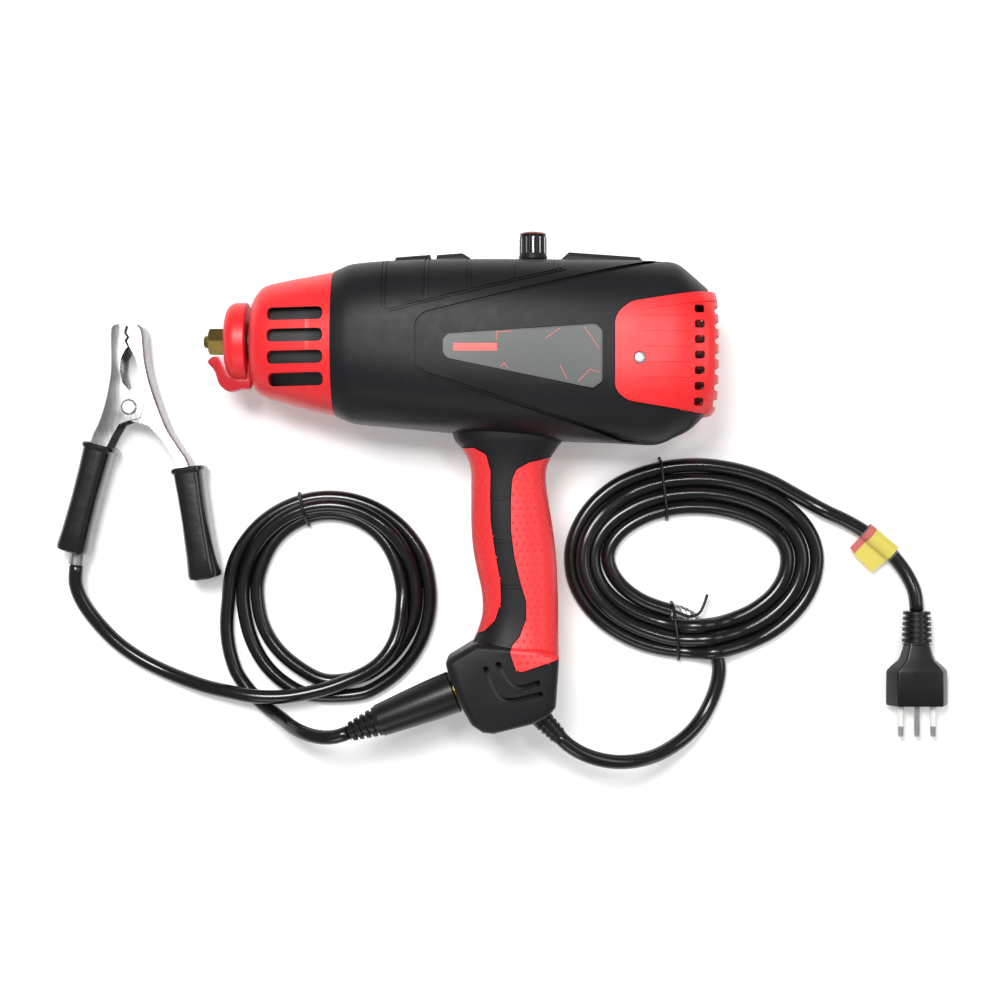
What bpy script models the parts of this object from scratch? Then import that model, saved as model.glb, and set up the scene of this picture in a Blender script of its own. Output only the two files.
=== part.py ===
"""Handheld arc welder, lying on its right side with its earth lead and mains cord laid out beside it.

The script builds every sub-part as its own closed solid. +X points to the welder's rear, +Y to its top
and +Z to its left side, which faces up. The origin is on the surface that the welder lies on, under the
middle of the welder without its cords. Sizes are in millimetres until a mesh is made, where MM turns
them into metres.
"""

import math

import bmesh
import bpy
from mathutils import Matrix, Vector

MM = 0.001
GAP = 0.3  # clearance between pieces that touch

# Driving sizes of the housing
MID = 48.0  # height of the parting plane, half the welder's width over its side panels
WALL = 3.0  # housing wall
PANEL_RAISE = 1.6  # how far the wedge-shaped side panel stands proud of the barrel
BARREL_WIDTH = 94.8  # width of the barrel at its widest, without the side panels
HANDLE_WIDTH = 42.0
BOOT_WIDTH = 50.0
GRIP_DEPTH = 2.4  # thickness of the soft grips
NOSE_WALL = 2.6
GRILLE_WALL = 3.8
NOSE_Y = 79.2  # height of the electrode axis above the origin

# Stations along the barrel: x, lowest y, highest y, width as a share of BARREL_WIDTH, squareness
BARREL = (
    (-69.2, 36.6, 118.8, 0.875, 2.5),
    (-64.3, 34.4, 120.8, 0.905, 2.6),
    (-57.7, 32.4, 122.8, 0.928, 2.7),
    (-38.0, 30.6, 124.2, 0.96, 2.9),
    (-10.0, 28.0, 124.9, 0.985, 3.1),
    (25.0, 25.0, 124.9, 1.0, 3.2),
    (60.0, 22.6, 124.6, 1.0, 3.2),
    (90.0, 21.6, 124.4, 0.985, 3.2),
    (112.0, 20.6, 123.8, 0.97, 3.1),
    (122.8, 24.6, 122.4, 0.955, 3.0),
    (131.0, 28.8, 116.4, 0.925, 2.9),
    (139.5, 36.6, 109.0, 0.87, 2.8),
)
GRILLE_REAR = 144.7  # rearmost face of the grille
GRILLE_END = ((136.0, 33.0, 112.0, 0.91, 2.8), (GRILLE_REAR, 40.0, 105.0, 0.78, 2.8))

# Stations along the nose cone
NOSE_FRONT = -116.0
NOSE = (
    (NOSE_FRONT, 53.6, 102.0, 0.512, 2.2),
    (-113.5, 49.8, 106.3, 0.595, 2.2),
    (-108.5, 47.2, 110.8, 0.67, 2.2),
    (-96.3, 43.4, 113.6, 0.74, 2.3),
    (-84.0, 40.2, 115.8, 0.797, 2.4),
    (BARREL[0][0] - GAP, 37.0, 118.4, 0.857, 2.5),
)

# Stations down the handle: y, front x, rear x, width as a share of HANDLE_WIDTH, squareness
HANDLE = (
    (40.0, -6.0, 62.0, 1.2, 2.6),
    (24.4, -2.5, 60.0, 1.16, 2.6),
    (19.8, 1.0, 57.0, 1.12, 2.6),
    (12.9, 5.4, 52.6, 1.06, 2.6),
    (5.4, 7.3, 50.0, 1.02, 2.6),
    (-5.6, 7.4, 50.5, 1.0, 2.6),
    (-23.0, 7.4, 53.2, 1.0, 2.6),
    (-37.8, 8.4, 55.2, 1.0, 2.6),
    (-51.4, 11.0, 56.2, 1.0, 2.6),
    (-63.8, 13.6, 56.7, 1.0, 2.6),
    (-74.9, 13.8, 57.0, 1.01, 2.6),
    (-84.0, 11.4, 57.0, 1.04, 2.7),
    (-92.0, 8.0, 57.0, 1.1, 2.8),
    (-101.0, 4.0, 56.8, 1.17, 3.0),
    (-112.0, 6.0, 52.0, 1.15, 3.0),
)
BOOT_LOW = -141.6
BOOT = (
    (10.5, -90.5), (-6.9, -101.0), (-5.1, -108.2), (2.9, -128.0), (7.8, -136.7),
    (14.1, -140.9), (20.2, BOOT_LOW), (42.4, -136.1), (51.2, -131.6), (55.1, -126.8), (56.7, -103.3),
    (56.9, -97.0), (44.0, -93.0),
)
BOOT_ROUNDING = 6.0

WEDGE = (
    (-19.8, 62.2), (-16.9, 59.8), (108.2, 19.7), (150.0, 6.3), (150.0, 130.0), (-16.0, 89.3),
    (-19.8, 86.2),
)
TOP_RIBS = (
    ((-38.0, 120.0), (-34.6, 125.7), (-15.4, 127.2), (-14.2, 120.0)),
    ((-12.8, 120.0), (-11.7, 127.0), (2.6, 128.1), (7.2, 125.3), (9.0, 120.0)),
    ((53.0, 120.0), (62.6, 128.6), (102.3, 125.8), (108.0, 120.0)),
)
RIB_HALF_WIDTH = 15.0

FRONT_GRIP = (
    (-20.0, 18.9), (9.3, 18.9), (16.6, 14.8), (19.1, 5.1), (18.8, -9.4), (19.1, -22.8), (21.5, -39.8),
    (24.5, -55.6), (24.9, -67.7), (21.5, -78.5), (15.4, -84.6), (9.4, -87.3), (-20.0, -88.0),
)
REAR_GRIP = (
    (80.0, 14.4), (51.7, 13.4), (39.7, 10.6), (32.4, 6.4), (30.0, 0.3), (29.4, -10.6), (29.4, -27.6),
    (31.2, -42.1), (34.3, -55.5), (37.9, -67.5), (37.9, -77.2), (34.3, -86.9), (30.0, -91.8),
    (28.8, -96.1), (32.0, -105.4), (35.5, -107.3), (56.0, -100.3), (80.0, -92.4),
)
GRILLE = (
    (86.3, 49.1), (93.2, 43.5), (132.5, 37.2), (155.0, 36.6), (155.0, 105.6), (135.0, 104.0),
    (94.8, 97.4), (86.3, 90.0),
)
PLATE = (
    (-7.2, 69.0), (-4.4, 66.3), (74.3, 50.0), (79.4, 53.8), (79.4, 81.4), (75.9, 84.9), (-4.4, 79.6),
    (-7.2, 77.0),
)
PLATE_DEPTH = 0.75

# Louvres and slots
LOUVRE_COUNT = 7
LOUVRE_FIRST_Y = 43.1
LOUVRE_PITCH = 8.45
LOUVRE_HEIGHT = 4.4
LOUVRE_X = ((129.5, 134.3), (138.4, 160.0))  # the windows in the sides and those in the rear
NOSE_SLOT_COUNT = 4
NOSE_SLOT_FIRST_Y = 56.0
NOSE_SLOT_PITCH = 12.0
NOSE_SLOT = (-105.0, -73.6, 7.2)  # x from, x to, height
BOOT_VENTS = (
    ((15.4, -103.5), (19.1, -114.4), (27.5, -122.2), (47.4, -118.6)),
    ((22.3, -101.0), (26.1, -108.0), (33.9, -115.0), (46.0, -112.2)),
)
VENT_WIDTH = 2.9

# Fasteners
SHELL_SCREWS = ((-50.0, 107.0), (-50.0, 41.0), (32.0, -40.0), (21.0, -131.0))
BOSS_RADIUS = 5.5
SCREW_RADIUS = 1.6
SCREW_HEAD = (3.3, 3.0)  # radius, height
SCREW_SEAT = 14.0  # distance of the head's seat below the parting plane
SCREW_GRIP = 12.0  # how far the screw reaches above the parting plane
GRILLE_SCREW_AT = (99.9, 66.6)

# Electrode end
COLLET_TIP = -144.7
HEX_FRONT = -141.7
HEX_REAR = -131.9
HEX_FLATS = 14.3
SHANK_RADIUS = 6.0
ELECTRODE_BORE = 2.2
RING_X = (-131.6, -119.3)
RING_RADIUS = 22.2
WING = (
    (-131.0, 74.0), (-137.0, 72.0), (-142.4, 68.1), (-138.5, 62.6), (-135.6, 54.7), (-129.8, 50.6),
    (-123.3, 51.8), (-118.1, 52.6), (-117.2, 60.0), (-119.5, 72.0),
)
WING_THICKNESS = 9.0

# Current knob
KNOB_X = 42.6
KNOB_Y = (125.7, 139.7)
KNOB_RADIUS = 8.0
KNOB_FLUTES = 12
CAP_HEIGHT = 1.9
BUSHING_RADIUS = 2.5
SPINDLE_RADIUS = 1.8

# Boot fittings
SOCKET_AT = (-1.5, -119.6)
SOCKET_TO = (-62.6, -143.4)
SOCKET_RADIUS = 11.0
SLEEVE_RADIUS = 12.2
SLEEVE_LENGTH = 65.6
GLAND_AT = (46.6, -134.4)
GLAND_TO = (57.0, -145.0)
GLAND_RADIUS = 6.0

# Cords
EARTH_RADIUS = 4.1
MAINS_RADIUS = 4.2
EARTH_LEAD = (
    (-63.6, -143.8, 48.0), (-70.8, -146.0, 47.2), (-79.0, -146.4, 44.8), (-87.6, -145.2, 39.6),
    (-96.0, -142.8, 30.6), (-104.2, -139.4, 17.4), (-112.2, -135.0, 9.8), (-119.6, -129.6, 5.8),
    (-126.2, -122.8, 4.3), (-132.6, -113.6, 4.2),
)
EARTH_TAIL = (
    (-44.0, -104.6, 13.2), (-53.0, -111.2, 13.4), (-65.0, -116.9, 13.6), (-80.6, -122.4, 14.2),
    (-101.5, -126.4, 15.4), (-120.0, -126.4, 15.6), (-135.0, -124.0, 13.6), (-149.5, -121.2, 10.0),
    (-163.6, -117.0, 6.6), (-178.0, -111.4, 4.5), (-191.4, -104.4, 4.2), (-203.8, -95.4, 4.7),
    (-214.4, -84.0, 6.8), (-222.6, -71.8, 9.8), (-226.4, -60.6, 12.6), (-225.9, -49.9, 14.0),
)
EARTH_COIL = (-77.6, -69.2, 63.7, 63.7, 39.9, 42.2)  # centre, outer half sizes, inner half sizes
EARTH_HOLE_DROP = -5.0  # the coil's hole sits higher than its outline
EARTH_COIL_HEIGHT = 8.6
EARTH_COIL_ENTRY = (-135.0, -88.0)
EARTH_TIE_ALONG = (-0.29, 0.957)
MAINS_LEAD = (
    (57.3, -145.4, 48.0), (63.2, -150.8, 47.6), (71.0, -155.6, 46.3), (80.5, -159.2, 43.8),
    (91.0, -161.3, 39.6), (102.5, -161.6, 33.2), (114.6, -159.9, 23.8), (125.5, -155.6, 15.9),
    (135.0, -149.4, 10.5), (143.0, -141.0, 6.8), (149.0, -130.8, 4.8), (153.0, -119.6, 4.3),
    (154.6, -108.6, 4.3),
)
MAINS_TAIL = (
    (216.4, -17.2, 6.9), (227.6, -22.4, 6.4), (238.6, -28.6, 6.4), (248.6, -35.8, 6.4),
    (257.4, -44.6, 6.8), (264.4, -54.2, 7.8), (269.0, -64.8, 9.6), (270.3, -75.6, 10.1),
)
MAINS_COIL = (139.3, -44.6, 78.1, 59.3, 48.4, 33.8)
MAINS_HOLE_DROP = 4.7  # the coil's hole sits lower than its outline
MAINS_COIL_HEIGHT = 16.0
MAINS_COIL_ENTRY = (153.0, -92.0)
MAINS_COIL_EXIT = (194.0, -8.5)
UPPER_TIE_X = 125.9
LOWER_TIE_X = 122.8
TIE_THICKNESS = 1.2

# Plug on the mains cord
PLUG_X = 270.3
PLUG_Z = 10.1
PIN_PITCH = 9.6
PIN_RADIUS = 2.0
PLUG_FACE_Y = -132.0
PIN_LENGTH = 19.0
PLUG_STATIONS = (  # distance behind the face, half width, half height
    (37.0, 7.5, 7.2), (32.4, 8.9, 7.8), (26.6, 11.2, 8.7), (20.8, 17.9, 9.8), (0.0, 18.4, PLUG_Z - 0.05),
)

# Earth clamp
CLAMP_Z = 14.0
PIVOT = (-192.3, 43.4)
ARM_SHEET = 1.5
FIXED_ARM_HALF = 11.8
MOVING_ARM_HALF = FIXED_ARM_HALF - ARM_SHEET - GAP
RIVET_RADIUS = 3.2
# Outlines of the arms, from the pivot
FIXED_OUTER = (
    (-4.9, 48.8), (-9.8, 47.4), (-10.9, 43.1), (-10.8, 24.1), (-11.9, 13.8), (-14.6, 1.2),
    (-18.2, -9.5), (-21.6, -16.7), (-24.5, -27.0), (-33.9, -61.0),
)
FIXED_INNER = (
    (-24.6, -64.1), (-15.1, -27.0), (-10.1, -16.7), (-6.1, -9.9), (-0.3, -7.8), (6.4, -6.4),
    (8.3, -0.2), (6.4, 4.9), (-0.2, 9.9), (-4.0, 14.2), (-5.5, 20.4), (-4.8, 28.6), (-2.4, 33.4),
    (-0.8, 35.2), (-2.8, 38.5), (-1.4, 40.6), (-3.0, 43.1), (-1.8, 47.8),
)
MOVING_OUTER = (
    (42.1, -70.7), (35.3, -35.2), (28.8, -23.3), (21.5, -11.3), (14.4, 7.2), (10.5, 21.0), (8.8, 31.7),
    (7.7, 44.0), (5.9, 47.6), (2.3, 48.8),
)
MOVING_INNER = (
    (-0.6, 47.6), (-1.8, 43.3), (-0.1, 40.8), (-1.6, 38.3), (0.1, 35.0), (3.4, 28.6), (5.2, 21.4),
    (3.4, 14.2), (0.5, 10.0), (-5.5, 6.5), (-8.1, 0.0), (-5.0, -6.2), (1.8, -8.4), (11.0, -10.9),
    (18.2, -18.7), (24.8, -29.0), (27.5, -35.2), (33.7, -72.3),
)
FIXED_HANDLE = ((-18.5, -21.8), (-35.1, -84.9))
MOVING_HANDLE = ((32.9, -35.0), (42.9, -100.7))
HANDLE_HALF = (9.2, CLAMP_Z)
HANDLE_SHEET = 1.2
LUG = ((-30.6, -70.2), (-33.5, -92.5))
LUG_RADIUS = 4.7


# ---------------------------------------------------------------- meshes

def finish(name, mesh, material, crease=35.0):
    """Makes the object that stands for one sub-part, smooth apart from its sharp edges."""
    piece = bpy.data.objects.new(name, mesh)
    bpy.context.scene.collection.objects.link(piece)
    mesh.materials.clear()
    mesh.materials.append(material)
    mesh.shade_smooth()
    mesh.set_sharp_from_angle(angle=math.radians(crease))
    return piece


def flat(face):
    """Whether a face's corners lie in one plane."""
    corner = face.verts[0].co
    return all(abs((vert.co - corner).dot(face.normal)) < 1e-7 for vert in face.verts)


def solid(points, faces):
    """A working object with outward faces, for the shapes that others are made of."""
    work = bmesh.new()
    corners = [work.verts.new(Vector(point) * MM) for point in points]
    for face in faces:
        work.faces.new([corners[index] for index in face])
    bmesh.ops.recalc_face_normals(work, faces=work.faces)
    bent = [face for face in work.faces if len(face.verts) == 4 and not flat(face)]
    bmesh.ops.triangulate(work, faces=bent)
    mesh = bpy.data.meshes.new("shape")
    work.to_mesh(mesh)
    work.free()
    piece = bpy.data.objects.new("shape", mesh)
    bpy.context.scene.collection.objects.link(piece)
    return piece


def loft(rings):
    """A closed solid through rings with equal numbers of points, capped at both ends."""
    sides = len(rings[0])
    points = [point for ring in rings for point in ring]
    faces = [list(range(sides)), [(len(rings) - 1) * sides + index for index in range(sides)]]
    for step in range(len(rings) - 1):
        for index in range(sides):
            after = (index + 1) % sides
            low = step * sides
            high = low + sides
            faces.append([low + index, low + after, high + after, high + index])
    return solid(points, faces)


def prism(outline, low, high):
    """An outline in x and y, extruded from one height to another."""
    return loft([[(x, y, z) for x, y in outline] for z in (low, high)])


def box(low, high):
    """A block between two corners."""
    return prism(((low[0], low[1]), (high[0], low[1]), (high[0], high[1]), (low[0], high[1])),
                 low[2], high[2])


def turned(profile, start, heading, sides=24, ring=False):
    """A solid of revolution: profile gives distances along the heading and radii."""
    along = Vector(heading).normalized()
    helper = Vector((0, 0, 1)) if abs(along.z) < 0.9 else Vector((1, 0, 0))
    across = along.cross(helper).normalized()
    up = along.cross(across)
    rings = []
    for distance, radius in profile:
        centre = Vector(start) + along * distance
        rings.append([
            centre + (across * math.cos(turn) + up * math.sin(turn)) * radius
            for turn in (math.tau * (index + 0.5) / sides for index in range(sides))
        ])
    if not ring:
        return loft(rings)
    points = [point for row in rings for point in row]
    faces = []
    for step in range(len(rings)):
        low = step * sides
        high = (step + 1) % len(rings) * sides
        for index in range(sides):
            after = (index + 1) % sides
            faces.append([low + index, low + after, high + after, high + index])
    return solid(points, faces)


def combine(base, operation, *tools):
    """Applies a Boolean of the base with each tool and removes the tools."""
    for tool in tools:
        modifier = base.modifiers.new("combine", "BOOLEAN")
        modifier.operation = operation
        modifier.solver = "EXACT"
        modifier.object = tool
        graph = bpy.context.evaluated_depsgraph_get()
        mesh = bpy.data.meshes.new_from_object(base.evaluated_get(graph))
        base.modifiers.clear()
        base.data = mesh
        bpy.data.objects.remove(tool)
    return base


def union(base, *tools):
    """The base together with the tools."""
    return combine(base, "UNION", *tools)


def cut(base, *tools):
    """The base without the tools."""
    return combine(base, "DIFFERENCE", *tools)


def keep(base, tool):
    """The part of the base that lies inside the tool."""
    return combine(base, "INTERSECT", tool)


def copy_of(piece):
    """A working copy of a shape."""
    twin = bpy.data.objects.new("shape", piece.data.copy())
    bpy.context.scene.collection.objects.link(twin)
    return twin


def named(piece, name, material, crease=35.0):
    """Turns a working shape into the finished sub-part of that name."""
    mesh = piece.data
    bpy.data.objects.remove(piece)
    mesh.name = name
    return finish(name, mesh, material, crease)


def mirrored(shape):
    """A copy of a shape on the other side of the parting plane."""
    twin = copy_of(shape)
    flip = Matrix.Translation((0, 0, MID * MM)) @ Matrix.Scale(-1, 4, (0, 0, 1))
    twin.data.transform(flip @ Matrix.Translation((0, 0, -MID * MM)))
    twin.data.flip_normals()
    return twin


def oval(centre, half, power, sides):
    """A superellipse: round at power 2 and squarer above."""
    points = []
    for index in range(sides):
        turn = math.tau * (index + 0.5) / sides
        share = (math.cos(turn), math.sin(turn))
        points.append(tuple(
            middle + size * math.copysign(abs(part) ** (2 / power), part)
            for middle, size, part in zip(centre, half, share)
        ))
    return points


def offset(outline, distance):
    """An outline moved outwards by a distance, or inwards by a negative one."""
    corners = [Vector(point) for point in outline]
    area = sum(a.x * b.y - a.y * b.x for a, b in zip(corners, corners[1:] + corners[:1]))
    side = math.copysign(1.0, area)
    moved = []
    for index, corner in enumerate(corners):
        before = (corner - corners[index - 1]).normalized()
        after = (corners[(index + 1) % len(corners)] - corner).normalized()
        normal = Vector((before.y + after.y, -before.x - after.x)).normalized() * side
        lean = max(0.4, normal.dot(Vector((after.y, -after.x)) * side))
        moved.append(tuple(corner + normal * distance / lean))
    return moved


def ribbon(route, width):
    """The outline of a strip of even width along a route in x and y."""
    sides = ([], [])
    for index, point in enumerate(route):
        before = Vector(route[max(index - 1, 0)])
        after = Vector(route[min(index + 1, len(route) - 1)])
        along = (after - before).normalized()
        across = Vector((-along.y, along.x)) * width / 2
        end = along * width / 4 * ((index == len(route) - 1) - (index == 0))
        sides[0].append(tuple(Vector(point) + across + end))
        sides[1].append(tuple(Vector(point) - across + end))
    return sides[0] + sides[1][::-1]


def smooth_route(route, spacing):
    """Points at even steps along a smooth curve through the route's own points."""
    points = [Vector(point) for point in route]
    ends = [points[0] * 2 - points[1], points[-1] * 2 - points[-2]]
    knots = [ends[0], *points, ends[1]]
    fine = []
    for index in range(1, len(knots) - 2):
        before, here, after, later = knots[index - 1:index + 3]
        for step in range(12):
            t = step / 12
            fine.append(0.5 * (
                2 * here + (after - before) * t + (2 * before - 5 * here + 4 * after - later) * t * t
                + (3 * here - before - 3 * after + later) * t ** 3
            ))
    fine.append(points[-1])
    length = sum((b - a).length for a, b in zip(fine, fine[1:]))
    count = max(2, round(length / spacing))
    even, walked, target = [fine[0]], 0.0, length / count
    for a, b in zip(fine, fine[1:]):
        walked += (b - a).length
        if walked >= target and len(even) < count:
            even.append(b)
            target += length / count
    return even + [points[-1]]


def tube(name, route, radius, material, spacing=None, resolution=2):
    """A cord or wire as a curve with a round bevel and filled caps."""
    curve = bpy.data.curves.new(name, "CURVE")
    curve.dimensions = "3D"
    curve.bevel_depth = radius * MM
    curve.bevel_resolution = resolution
    curve.use_fill_caps = True
    line = curve.splines.new("POLY")
    points = smooth_route(route, spacing or radius * 3.4)
    line.points.add(len(points) - 1)
    for spot, point in zip(line.points, points):
        spot.co = (*(point * MM), 1)
    curve.materials.append(material)
    piece = bpy.data.objects.new(name, curve)
    bpy.context.scene.collection.objects.link(piece)
    return piece


def paint(name, color, roughness, metallic=0.0):
    """A plain Principled material."""
    material = bpy.data.materials.new(name)
    material.use_nodes = True
    shader = material.node_tree.nodes["Principled BSDF"]
    shader.inputs["Base Color"].default_value = (*color, 1)
    shader.inputs["Roughness"].default_value = roughness
    shader.inputs["Metallic"].default_value = metallic
    return material


# ---------------------------------------------------------------- housing

def barrel_shape(stations, grow, raise_side=0.0, from_x=None, to_x=None):
    """The barrel's outer form, grown or shrunk, and stretched past its ends where a cavity needs it."""
    rings = []
    last = len(stations) - 1
    for index, (x, low, high, share, power) in enumerate(stations):
        if index == 0 and from_x is not None:
            x = from_x
        if index == last and to_x is not None:
            x = to_x
        half = (high - low) / 2 + grow
        side = BARREL_WIDTH * share / 2 + grow + raise_side
        section = oval(((low + high) / 2, MID), (half, side), power, 24)
        rings.append([(x, y, z) for y, z in section])
    return loft(rings)


def handle_shape(inset, stations=HANDLE):
    """The handle's outer form, shrunk by an inset."""
    rings = []
    for y, front, rear, share, power in stations:
        half = (rear - front) / 2 - inset
        section = oval(((front + rear) / 2, MID), (half, HANDLE_WIDTH * share / 2 - inset), power, 16)
        rings.append([(x, y, z) for x, z in section])
    return loft(rings)


def boot_shape(inset):
    """The boot at the handle's foot: its outline with rounded edges."""
    half = BOOT_WIDTH / 2 - inset
    round_by = max(BOOT_ROUNDING - inset, 1.5)
    rings = []
    for side, drop, pull in ((-1, 0, 1), (-1, 0.3, 0.3), (-1, 1, 0), (1, 1, 0), (1, 0.3, 0.3), (1, 0, 1)):
        z = MID + side * (half - drop * round_by)
        rings.append([(x, y, z) for x, y in offset(BOOT, -inset - pull * round_by * 0.7)])
    return loft(rings)


def slab(half_thickness):
    """A wide block centred on the parting plane."""
    return box((-300, -300, MID - half_thickness), (300, 300, MID + half_thickness))


def socket_heading():
    """The direction in which the earth plug leaves the boot."""
    return Vector((SOCKET_TO[0] - SOCKET_AT[0], SOCKET_TO[1] - SOCKET_AT[1], 0)).normalized()


def gland_heading():
    """The direction in which the mains cord leaves the boot."""
    return Vector((GLAND_TO[0] - GLAND_AT[0], GLAND_TO[1] - GLAND_AT[1], 0)).normalized()


def build_housing(black, red, plate_material, steel):
    """Both shells, the grips, the name plates and the screws that hold the shells together."""
    outer = barrel_shape(BARREL, 0)
    panel = keep(barrel_shape(BARREL, 0.3, PANEL_RAISE), prism(WEDGE, MID - 60, MID + 60))
    outer = union(outer, keep(panel, slab(MID)))
    for rib in TOP_RIBS:
        outer = union(outer, prism(rib, MID - RIB_HALF_WIDTH, MID + RIB_HALF_WIDTH))
    foot = union(handle_shape(0), boot_shape(0))
    outer = union(outer, copy_of(foot))

    grips = {}
    for label, outline in (("front_grip", FRONT_GRIP), ("rear_grip", REAR_GRIP)):
        outer = cut(outer, prism(outline, MID - 60, MID + 60))
        skin = keep(copy_of(foot), prism(offset(outline, -GAP), MID - 60, MID + 60))
        grips[label] = cut(skin, handle_shape(GRIP_DEPTH - GAP))
    bpy.data.objects.remove(foot)
    outer = union(outer, handle_shape(GRIP_DEPTH))

    cavity = barrel_shape(BARREL, -WALL, from_x=BARREL[0][0] - 5, to_x=BARREL[-1][0] + 5)
    cavity = union(cavity, handle_shape(GRIP_DEPTH + WALL * 0.8), boot_shape(WALL))
    for x, y in SHELL_SCREWS:
        cavity = cut(cavity, turned(((-60, BOSS_RADIUS), (60, BOSS_RADIUS)), (x, y, MID), (0, 0, 1), 12))
    outer = cut(outer, cavity, grille_cutter())
    edge = GRILLE[0][0]
    under = MID + BARREL_WIDTH / 2 - 7.4
    root = box((edge - 6, 60.0, under), (edge - GAP, 75.0, under + 4.8))
    tab = union(box((edge - 5, 60.0, under), (edge + 20, 75.0, under + 2.8)), root)
    outer = union(outer, mirrored(tab), tab)
    outer = cut(
        outer,
        turned(((-20, BUSHING_RADIUS + GAP), (20, BUSHING_RADIUS + GAP)), (KNOB_X, 122, MID), (0, 1, 0), 12),
        turned(((-9, SOCKET_RADIUS + GAP), (20, SOCKET_RADIUS + GAP)), (*SOCKET_AT, MID),
               socket_heading(), 24),
        turned(((-9, GLAND_RADIUS + GAP), (20, GLAND_RADIUS + GAP)), (*GLAND_AT, MID), gland_heading(), 16),
        turned(((-60, SCREW_RADIUS + GAP), (60, SCREW_RADIUS + GAP)), (*GRILLE_SCREW_AT, MID),
               (0, 0, 1), 10),
    )
    for vent in BOOT_VENTS:
        outer = cut(outer, prism(ribbon(vent, VENT_WIDTH), MID - 40, MID - 15),
                    prism(ribbon(vent, VENT_WIDTH), MID + 15, MID + 40))
    recess = offset(PLATE, GAP)
    floor = MID - PLATE_DEPTH - GAP * 1.5
    pocket = prism(recess, MID + floor, MID + 60)
    outer = cut(outer, mirrored(pocket), pocket)

    right = keep(copy_of(outer), box((-300, -300, -10), (300, 300, MID - GAP / 2)))
    left = keep(outer, box((-300, -300, MID + GAP / 2), (300, 300, 2 * MID + 10)))
    screw_hole = SCREW_RADIUS + GAP
    for x, y in SHELL_SCREWS:
        seat = MID - SCREW_SEAT
        right = cut(right, turned(((-60, screw_hole), (60, screw_hole)), (x, y, MID), (0, 0, 1), 12),
                    turned(((-60, SCREW_HEAD[0] + GAP), (0, SCREW_HEAD[0] + GAP)), (x, y, seat),
                           (0, 0, 1), 12))
        left = cut(left, turned(((-5, screw_hole), (SCREW_GRIP + 1, screw_hole)), (x, y, MID),
                                (0, 0, 1), 12))
    named(left, "left_shell", black)
    named(right, "right_shell", black)
    for label, grip in grips.items():
        above = box((-300, -300, MID + GAP / 2), (300, 300, 2 * MID + 10))
        below = box((-300, -300, -10), (300, 300, MID - GAP / 2))
        named(keep(copy_of(grip), above), f"{label}_left", red)
        named(keep(grip, below), f"{label}_right", red)
    plate = prism(PLATE, MID + MID - PLATE_DEPTH - GAP / 2, MID + MID - GAP / 2)
    named(mirrored(plate), "name_plate_right", plate_material)
    named(plate, "name_plate_left", plate_material)
    for number, (x, y) in enumerate(SHELL_SCREWS, 1):
        radius, height = SCREW_HEAD
        profile = ((-height, radius * 0.8), (-height * 0.6, radius), (-GAP, radius), (-GAP, SCREW_RADIUS),
                   (SCREW_SEAT + SCREW_GRIP, SCREW_RADIUS))
        named(turned(profile, (x, y, MID - SCREW_SEAT), (0, 0, 1), 12), f"shell_screw_{number}", steel)


def grille_cutter():
    """The space that the rear grille takes out of the shells, with its clearance."""
    outline = offset(GRILLE, GAP)
    return prism(outline, MID - 60, MID + 60)


def build_grille(red, steel):
    """The louvred rear grille, which wraps round the barrel's end, and its two screws."""
    stations = tuple(station for station in BARREL if 50 < station[0] < 135) + GRILLE_END
    skin = barrel_shape(stations, PANEL_RAISE * 0.7)
    inner_end = (GRILLE_END[0], (GRILLE_REAR - GRILLE_WALL - 1.4, *GRILLE_END[1][1:]))
    inner = tuple(station for station in BARREL if 50 < station[0] < 135) + inner_end
    hollow = barrel_shape(inner, PANEL_RAISE * 0.7 - GRILLE_WALL)
    grille = cut(keep(skin, prism(GRILLE, MID - 60, MID + 60)), hollow)
    grille = keep(grille, slab(MID - GAP))
    for number in range(LOUVRE_COUNT):
        y = LOUVRE_FIRST_Y + number * LOUVRE_PITCH
        low, high = y - LOUVRE_HEIGHT / 2, y + LOUVRE_HEIGHT / 2
        for from_x, to_x in LOUVRE_X:
            grille = cut(grille, box((from_x, low, MID - 60), (to_x, high, MID + 60)))
    hole = SCREW_RADIUS + GAP
    seat = MID - GAP - 2.0
    for side in (-1, 1):
        grille = cut(grille, turned(((20, hole), (60, hole)), (*GRILLE_SCREW_AT, MID), (0, 0, side), 12),
                     turned(((seat, SCREW_HEAD[0] + GAP), (60, SCREW_HEAD[0] + GAP)),
                            (*GRILLE_SCREW_AT, MID), (0, 0, side), 12))
        profile = ((BARREL_WIDTH / 2 - 10, SCREW_RADIUS), (seat + GAP, SCREW_RADIUS),
                   (seat + GAP, SCREW_HEAD[0]), (seat + 1.5, SCREW_HEAD[0]))
        screw = turned(profile, (*GRILLE_SCREW_AT, MID), (0, 0, side), 12)
        named(screw, "grille_screw_left" if side > 0 else "grille_screw_right", steel)
    named(grille, "rear_grille", red)


# ---------------------------------------------------------------- nose and electrode end

def slot_outline(low_x, high_x, y, height, steps=3):
    """A slot with round ends, lying along x."""
    radius = height / 2
    points = []
    for centre, start in ((high_x - radius, -90), (low_x + radius, 90)):
        for step in range(steps + 1):
            turn = math.radians(start + 180 * step / steps)
            points.append((centre + radius * math.cos(turn), y + radius * math.sin(turn)))
    return points


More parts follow.
